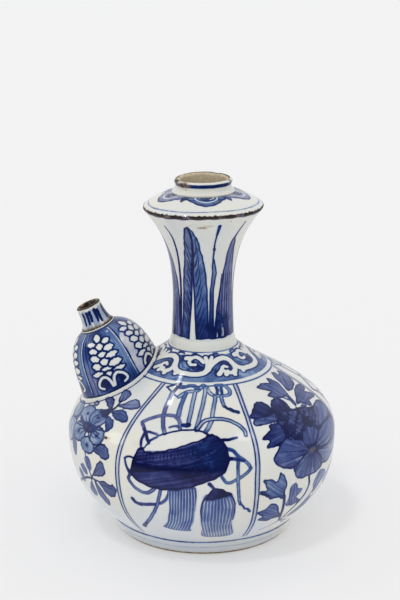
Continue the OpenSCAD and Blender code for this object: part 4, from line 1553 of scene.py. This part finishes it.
def buried_slip(node, inner_r, outer_r, z):
    """Slip that the glaze of its neighbours runs over."""
    edge = SLIP_T / 2
    section = [[inner_r, z], *arc([outer_r - edge, z + edge], edge, -90, 90, 6), [inner_r, z + SLIP_T]]
    slip_piece(node, section, INNER_COLUMNS)


def foot_ring():
    """The turned foot, bare of glaze on its rim."""
    top = FOOT_TOP + SLIP_T / 2
    rings = [Ring(foot_inner_r + FOOT_BEVEL, 0, INNER_COLUMNS * 2)]
    rings.append(Ring(foot_r - FOOT_BEVEL, 0, BODY_COLUMNS, up=FOOT_UNDER))
    rings += rows(body, 0, foot_seam, BODY_COLUMNS)
    rings += plain([[foot_inner_r, top], [foot_inner_r, FOOT_BEVEL]], INNER_COLUMNS * 2)
    painted_piece("foot_ring", rings, paint_body)


def lower_bowl():
    """Lower half of the body, with the floor."""
    floor_z = BOWL_Z + FLOOR_T
    inner = inner_face(body, BODY_WALL, floor_z + END_GAP, BELLY_Z)
    rings = [Ring(0, BOWL_Z, 1)]
    rings += plain([[r, BOWL_Z] for r in UNDERSIDE_R], INNER_COLUMNS)
    rings += plain([[foot_inner_r, FOOT_TOP + SLIP_T / 2]], INNER_COLUMNS * 2)
    rings += rows(body, foot_seam, belly_seam, BODY_COLUMNS)
    rings += plain([[BELLY_R - BODY_WALL, BELLY_Z + SLIP_T / 2], *inner], INNER_COLUMNS)
    rings += plain([[r, floor_z] for r in (inner[-1][0] - FLAT_EDGE, *FLOOR_R)], INNER_COLUMNS)
    rings.append(Ring(0, floor_z, 1))
    painted_piece("lower_bowl", rings, paint_body)


def belly_slip():
    """Slip in the belly seam, with the ridge that squeezes out inside."""
    inner_r = BELLY_R - BODY_WALL
    outer_r = BELLY_R - BELLY_SLIP_IN
    section = [[outer_r, BELLY_Z], [outer_r, SHOULDER_Z], [inner_r, SHOULDER_Z],
               *arc([inner_r, BELLY_Z + SLIP_T / 2], SLIP_RIDGE, 120, 240, 6), [inner_r, BELLY_Z]]
    slip_piece("belly_slip", section, INNER_COLUMNS)


def shoulder():
    """Upper half of the body, up to the neck band."""
    rings = rows(body, belly_seam, body.length, body_columns)
    inner = inner_face(body, BODY_WALL, SHOULDER_Z + END_GAP, RIM_Z - END_GAP)
    rings += plain([[RIM_R - BODY_WALL - END_GAP, RIM_Z], *inner,
                    [BELLY_R - BODY_WALL, BELLY_Z + SLIP_T / 2]], INNER_COLUMNS)
    painted_piece("shoulder", rings, paint_body)


def neck_band():
    """The raised band over the joint of neck and shoulder."""
    bore = NECK_ROOT_R - NECK_WALL
    swell = bezier([RIM_R - BAND_TUCK, RIM_Z], [BAND_R + BAND_SWELL[0], RIM_Z + BAND_SWELL[1]],
                   [BAND_R, NECK_Z - BAND_FALL], [NECK_ROOT_R + BAND_LAP, NECK_Z], 12)
    slip_piece("neck_band", [[bore, RIM_Z], *swell, [bore, NECK_Z]], NECK_COLUMNS)


def neck_piece():
    """The thrown tube that flares to the flange."""
    inner = inner_face(neck, NECK_WALL, NECK_Z + END_GAP, FLANGE_Z - END_GAP)
    rings = rows(neck, 0, neck.length, NECK_COLUMNS)
    rings += plain([[inner[0][0] + END_GAP, FLANGE_Z], *inner, [NECK_ROOT_R - NECK_WALL, NECK_Z]],
                   INNER_COLUMNS)
    painted_piece("neck", rings, paint_neck)


def flange_slip():
    """The sharp worn edge of the flange, nibbled along its length."""
    nibble = sum(depth * wave(neck_angles, count, shift) for depth, count, shift in NIBBLES)
    edge = SLIP_T / 2
    inner_r = FLANGE_R - NECK_WALL
    bow = arc([FLANGE_R - edge, FLANGE_Z + edge], edge, -90, 90, 8)
    section = [[inner_r, FLANGE_Z], bow[0], *([r + nibble, z] for r, z in bow[1:-1]), bow[-1],
               [inner_r, DOME_Z]]
    rings = [Ring(r, z, NECK_COLUMNS, up=i) for i, (r, z) in enumerate(section)]

    def worn(c):
        c.line[:] = -FAR
        c.rust = worn_share(c)

    turned("flange_slip", rings, glazed_slip, worn)


def mouth_dome():
    """The domed top of the flange."""
    under = SEAT_Z - DOME_WALL
    hollow_r = FLANGE_R - 2 * DOME_WALL
    rings = rows(dome, 0, dome.length, NECK_COLUMNS, step=DOME_ROW)
    rings += plain([[MOUTH_R, SEAT_Z], [MOUTH_R, under], [hollow_r - DOME_HOLLOW[0], under - DOME_HOLLOW[1]],
                    [hollow_r, DOME_Z]], INNER_COLUMNS)
    painted_piece("mouth_dome", rings, paint_dome)


def mouth_collar():
    """Upright collar with a rounded lip, chipped in places."""
    lip_round = LIP_W / 2
    lip_z = MOUTH_Z - lip_round
    third = (lip_z - COLLAR_Z) / 3
    side = bezier([SEAT_R, COLLAR_Z], [lip_r - COLLAR_WAIST, COLLAR_Z + third],
                  [lip_r - COLLAR_WAIST, COLLAR_Z + 2 * third], [lip_r, lip_z], 12)
    lip = arc([lip_r - lip_round, lip_z], lip_round, 0, 180, 20)[1:]
    outline = Outline(side, lip, [[MOUTH_R, COLLAR_Z]])
    chip = sum(depth * bell(wrapped(neck_angles - at), wide) for at, wide, depth in LIP_CHIPS)
    chip *= 1 - CHIP_RAGGED + CHIP_RAGGED * wave(neck_angles, CHIP_WAVES)
    rings = []
    for ring in rows(outline, 0, outline.length, NECK_COLUMNS, step=FINE_ROW):
        rise = np.clip((ring.z - lip_z) / lip_round, 0, 1)
        rings.append(Ring(ring.r, ring.z - chip * rise, NECK_COLUMNS, up=ring.up))
    painted_piece("mouth_collar", rings, paint_collar)


# Spout: its own axis, from the bore's mount

bore = mount("spout_bore")
spout_axis = np.array(bore["axis"], float)
spout_origin = np.array(bore["pos_m"], float) / MM - SPOUT_BORE_S * spout_axis
spout_front = np.array([0, -1.0, 0])
spout_right = np.cross(spout_axis, spout_front)
ON_SPOUT = (spout_origin, spout_front, spout_right, spout_axis)


# The bulb's inner face goes up to this share of its height, in so many rings; sides of the bead's section
INNER_TOP = 0.8
INNER_ROWS = 12
BEAD_SIDES = 12


def on_spout(r, s, angle):
    turn = np.radians(angle)[:, None]
    outward = np.cos(turn) * spout_front + np.sin(turn) * spout_right
    return spout_origin + s[:, None] * spout_axis + r[:, None] * outward


def shoulder_arc(angle, thinner=0.0):
    """Where the bulb's wall meets the shoulder, as the distance along the bulb's outline."""
    low = np.zeros(len(angle))
    high = np.full(len(angle), bulb.length)
    for _ in range(40):
        middle = (low + high) / 2
        r, s = bulb.at(middle)
        p = on_spout(r - thinner, s, angle)
        outside = np.hypot(p[:, 0], p[:, 1]) > body.radius_at(p[:, 2])
        high = np.where(outside, middle, high)
        low = np.where(outside, low, middle)
    return (low + high) / 2


bulb_base = shoulder_arc(neck_angles)


def spout_bulb():
    """The hollow bulb, its base cut to the shoulder."""
    inner_base = shoulder_arc(neck_angles, BULB_WALL)
    count = int((bulb.length - bulb_base.min()) / BULB_ROW)
    rings = []
    for share in np.linspace(0, 1, count + 1):
        up = bulb_base + (bulb.length - bulb_base) * share
        rings.append(Ring(*bulb.at(up), NECK_COLUMNS, up=up))
    rings += plain([[NOZZLE_BORE_R, BULB_H], [NOZZLE_BORE_R, BULB_H - BULB_WALL]], NECK_COLUMNS)
    for share in np.linspace(INNER_TOP, 0, INNER_ROWS):
        r, s = bulb.at(inner_base + (bulb.length - inner_base) * share)
        rings.append(Ring(r - BULB_WALL, s - BULB_WALL * share, NECK_COLUMNS))
    painted_piece("spout_bulb", rings, paint_bulb, ON_SPOUT, (neck_angles, bulb_base))


def spout_bead():
    """A round bead of slip along the line where the bulb meets the shoulder."""
    r, s = bulb.at(bulb_base)
    turns = 2 * math.pi * np.arange(BEAD_SIDES) / BEAD_SIDES
    slip_piece("spout_bead", [[r + BEAD_R * np.cos(a), s + BEAD_R * np.sin(a)] for a in turns],
               NECK_COLUMNS, ON_SPOUT)


def nozzle_slip():
    """The ring of slip between bulb and nozzle."""
    edge = SLIP_T / 2
    bow = arc([nozzle_root_r - edge + NOZZLE_SLIP_OUT, BULB_H + edge], edge, -90, 90, 8)
    slip_piece("nozzle_slip", [[NOZZLE_BORE_R, BULB_H], *bow, [NOZZLE_BORE_R, nozzle_s]], NOZZLE_COLUMNS,
               ON_SPOUT)


def spout_nozzle():
    """The short flared nozzle with its rounded lip."""
    lip_round = NOZZLE_WALL / 2
    lip = arc([nozzle_lip_r - lip_round, nozzle_tip_s - lip_round], lip_round, 0, 180, 10)
    outline = Outline(nozzle.points, lip[1:], [[NOZZLE_BORE_R, nozzle_s]])
    rings = rows(outline, 0, outline.length, NOZZLE_COLUMNS, step=FINE_ROW)
    painted_piece("spout_nozzle", rings, paint_nozzle, ON_SPOUT)


foot_ring()
buried_slip("foot_slip", foot_inner_r, FOOT_TOP_R - FOOT_SLIP_IN, FOOT_TOP)
lower_bowl()
belly_slip()
shoulder()
neck_band()
neck_piece()
flange_slip()
mouth_dome()
buried_slip("collar_slip", MOUTH_R, SEAT_R, SEAT_Z)
mouth_collar()
spout_bead()
spout_bulb()
nozzle_slip()
spout_nozzle()


# Stage, light and camera

FLOOR_SIZE = 24.0
FLOOR_WHITE = (0.94, 0.94, 0.945, 1.0)
FLOOR_ROUGH = 0.9
FLOOR_GLOW = 0.5
GLOW_WHITE = (0.77, 0.77, 0.775, 1.0)
FLOOR_FADES = (0.06, 0.5)
FLOOR_MIRRORED = 1.0
SKY = 1.02
SHOWN_WHITE = (0.90, 0.90, 0.905, 1.0)
ROOM_BEHIND = 1.0
ROOM_IN_FRONT = 0.14
ROOM_TURNS = (-0.3, 0.6)
LAMP_FROM = Vector((-0.24, -0.34, 0.91))
LAMP_STRENGTH = 0.55
LAMP_SPREAD = math.radians(9)
# Lights that the glaze mirrors: direction, half width and soft edge in degrees, brightness
WINDOWS = (((-0.287, 0.233, 0.929), 0.8, 0.6, 50.0), ((0.45, -0.25, 0.86), 6, 1.6, 3.4),
           ((-0.87, -0.02, 0.49), 9, 1.6, 3.6))
CAMERA_AT = (0.0, -0.8592, 0.3832)
CAMERA_PITCH = math.radians(16.77)
CAMERA_YAW = math.radians(0.1)
CAMERA_LENS = 102.6
CAMERA_SENSOR = 36.0


def room(n, depth):
    """What the glaze mirrors beside the lights: a white sweep behind and a dim room in front."""
    return n.span(depth, *ROOM_TURNS, ROOM_IN_FRONT, ROOM_BEHIND)


def floor():
    """Pale paper that shows the shadow; for the camera and for mirrors some of its white is its own."""
    half = FLOOR_SIZE / 2
    mesh = bpy.data.meshes.new("floor")
    square = [(-half, -half, 0), (half, -half, 0), (half, half, 0), (-half, half, 0)]
    mesh.from_pydata(square, [], [(0, 1, 2, 3)])
    material = bpy.data.materials.new("floor_paper")
    n = Nodes(material)
    n.shader.inputs["Base Color"].default_value = FLOOR_WHITE
    n.shader.inputs["Roughness"].default_value = FLOOR_ROUGH
    n.shader.inputs["Specular IOR Level"].default_value = 0.0
    place = n.place()
    away = n.new("ShaderNodeVectorMath", {0: place}, operation="LENGTH").outputs["Value"]
    depth = n.math("DIVIDE", n.new("ShaderNodeSeparateXYZ", {0: place}).outputs["Y"], away)
    far = n.span(away, *FLOOR_FADES)
    near = n.times(n.minus(1.0, far), FLOOR_MIRRORED)
    mirrored = n.plus(near, n.times(far, room(n, depth)))
    rays = n.new("ShaderNodeLightPath").outputs
    glossy = rays["Is Glossy Ray"]
    strength = n.plus(n.minus(1.0, glossy), n.times(glossy, mirrored))
    glow = n.new("ShaderNodeEmission", {"Color": GLOW_WHITE, "Strength": strength})
    share = n.plus(n.times(rays["Is Camera Ray"], FLOOR_GLOW), glossy)
    both = n.new("ShaderNodeMixShader", {0: share, 1: n.shader.outputs[0], 2: glow.outputs[0]})
    n.put(n.tree.nodes["Material Output"].inputs["Surface"], both.outputs[0])
    mesh.materials.append(material)
    piece = bpy.data.objects.new("floor", mesh)
    bpy.context.scene.collection.objects.link(piece)


def sky():
    """Even white light from all round; reflections show a white sweep behind and a dim room in front."""
    world = bpy.data.worlds.new("studio")
    bpy.context.scene.world = world
    n = Nodes(world)
    light = n.tree.nodes["Background"]
    light.inputs["Color"].default_value = SHOWN_WHITE
    rays = n.new("ShaderNodeLightPath").outputs
    direction = n.place("Generated")
    depth = n.new("ShaderNodeSeparateXYZ", {0: direction}).outputs["Y"]
    mirrored = room(n, depth)
    for towards, half_width, edge, brightness in WINDOWS:
        ends = {0: direction, 1: Vector(towards).normalized()}
        facing = n.new("ShaderNodeVectorMath", ends, operation="DOT_PRODUCT")
        rim, core = (math.cos(math.radians(a)) for a in (half_width + edge, half_width))
        mirrored = n.plus(mirrored, n.span(facing.outputs["Value"], rim, core, 0.0, brightness))
    glossy = rays["Is Glossy Ray"]
    unseen = n.plus(n.times(n.minus(1.0, glossy), SKY), n.times(glossy, mirrored))
    seen = rays["Is Camera Ray"]
    n.put(light.inputs["Strength"], n.plus(n.times(n.minus(1.0, seen), unseen), seen))


def lamps():
    lamp = bpy.data.lights.new("lamp", "SUN")
    lamp.energy = LAMP_STRENGTH
    lamp.angle = LAMP_SPREAD
    holder = bpy.data.objects.new("lamp", lamp)
    holder.visible_glossy = False
    holder.rotation_euler = LAMP_FROM.to_track_quat("Z", "Y").to_euler()
    bpy.context.scene.collection.objects.link(holder)


def camera():
    view = bpy.data.cameras.new("camera")
    view.lens = CAMERA_LENS
    view.sensor_fit = "AUTO"
    view.sensor_width = CAMERA_SENSOR
    holder = bpy.data.objects.new("camera", view)
    holder.location = CAMERA_AT
    holder.rotation_euler = (math.pi / 2 - CAMERA_PITCH, 0.0, CAMERA_YAW)
    bpy.context.scene.collection.objects.link(holder)
    bpy.context.scene.camera = holder


floor()
sky()
lamps()
camera()
bpy.context.scene.view_settings.view_transform = "Standard"
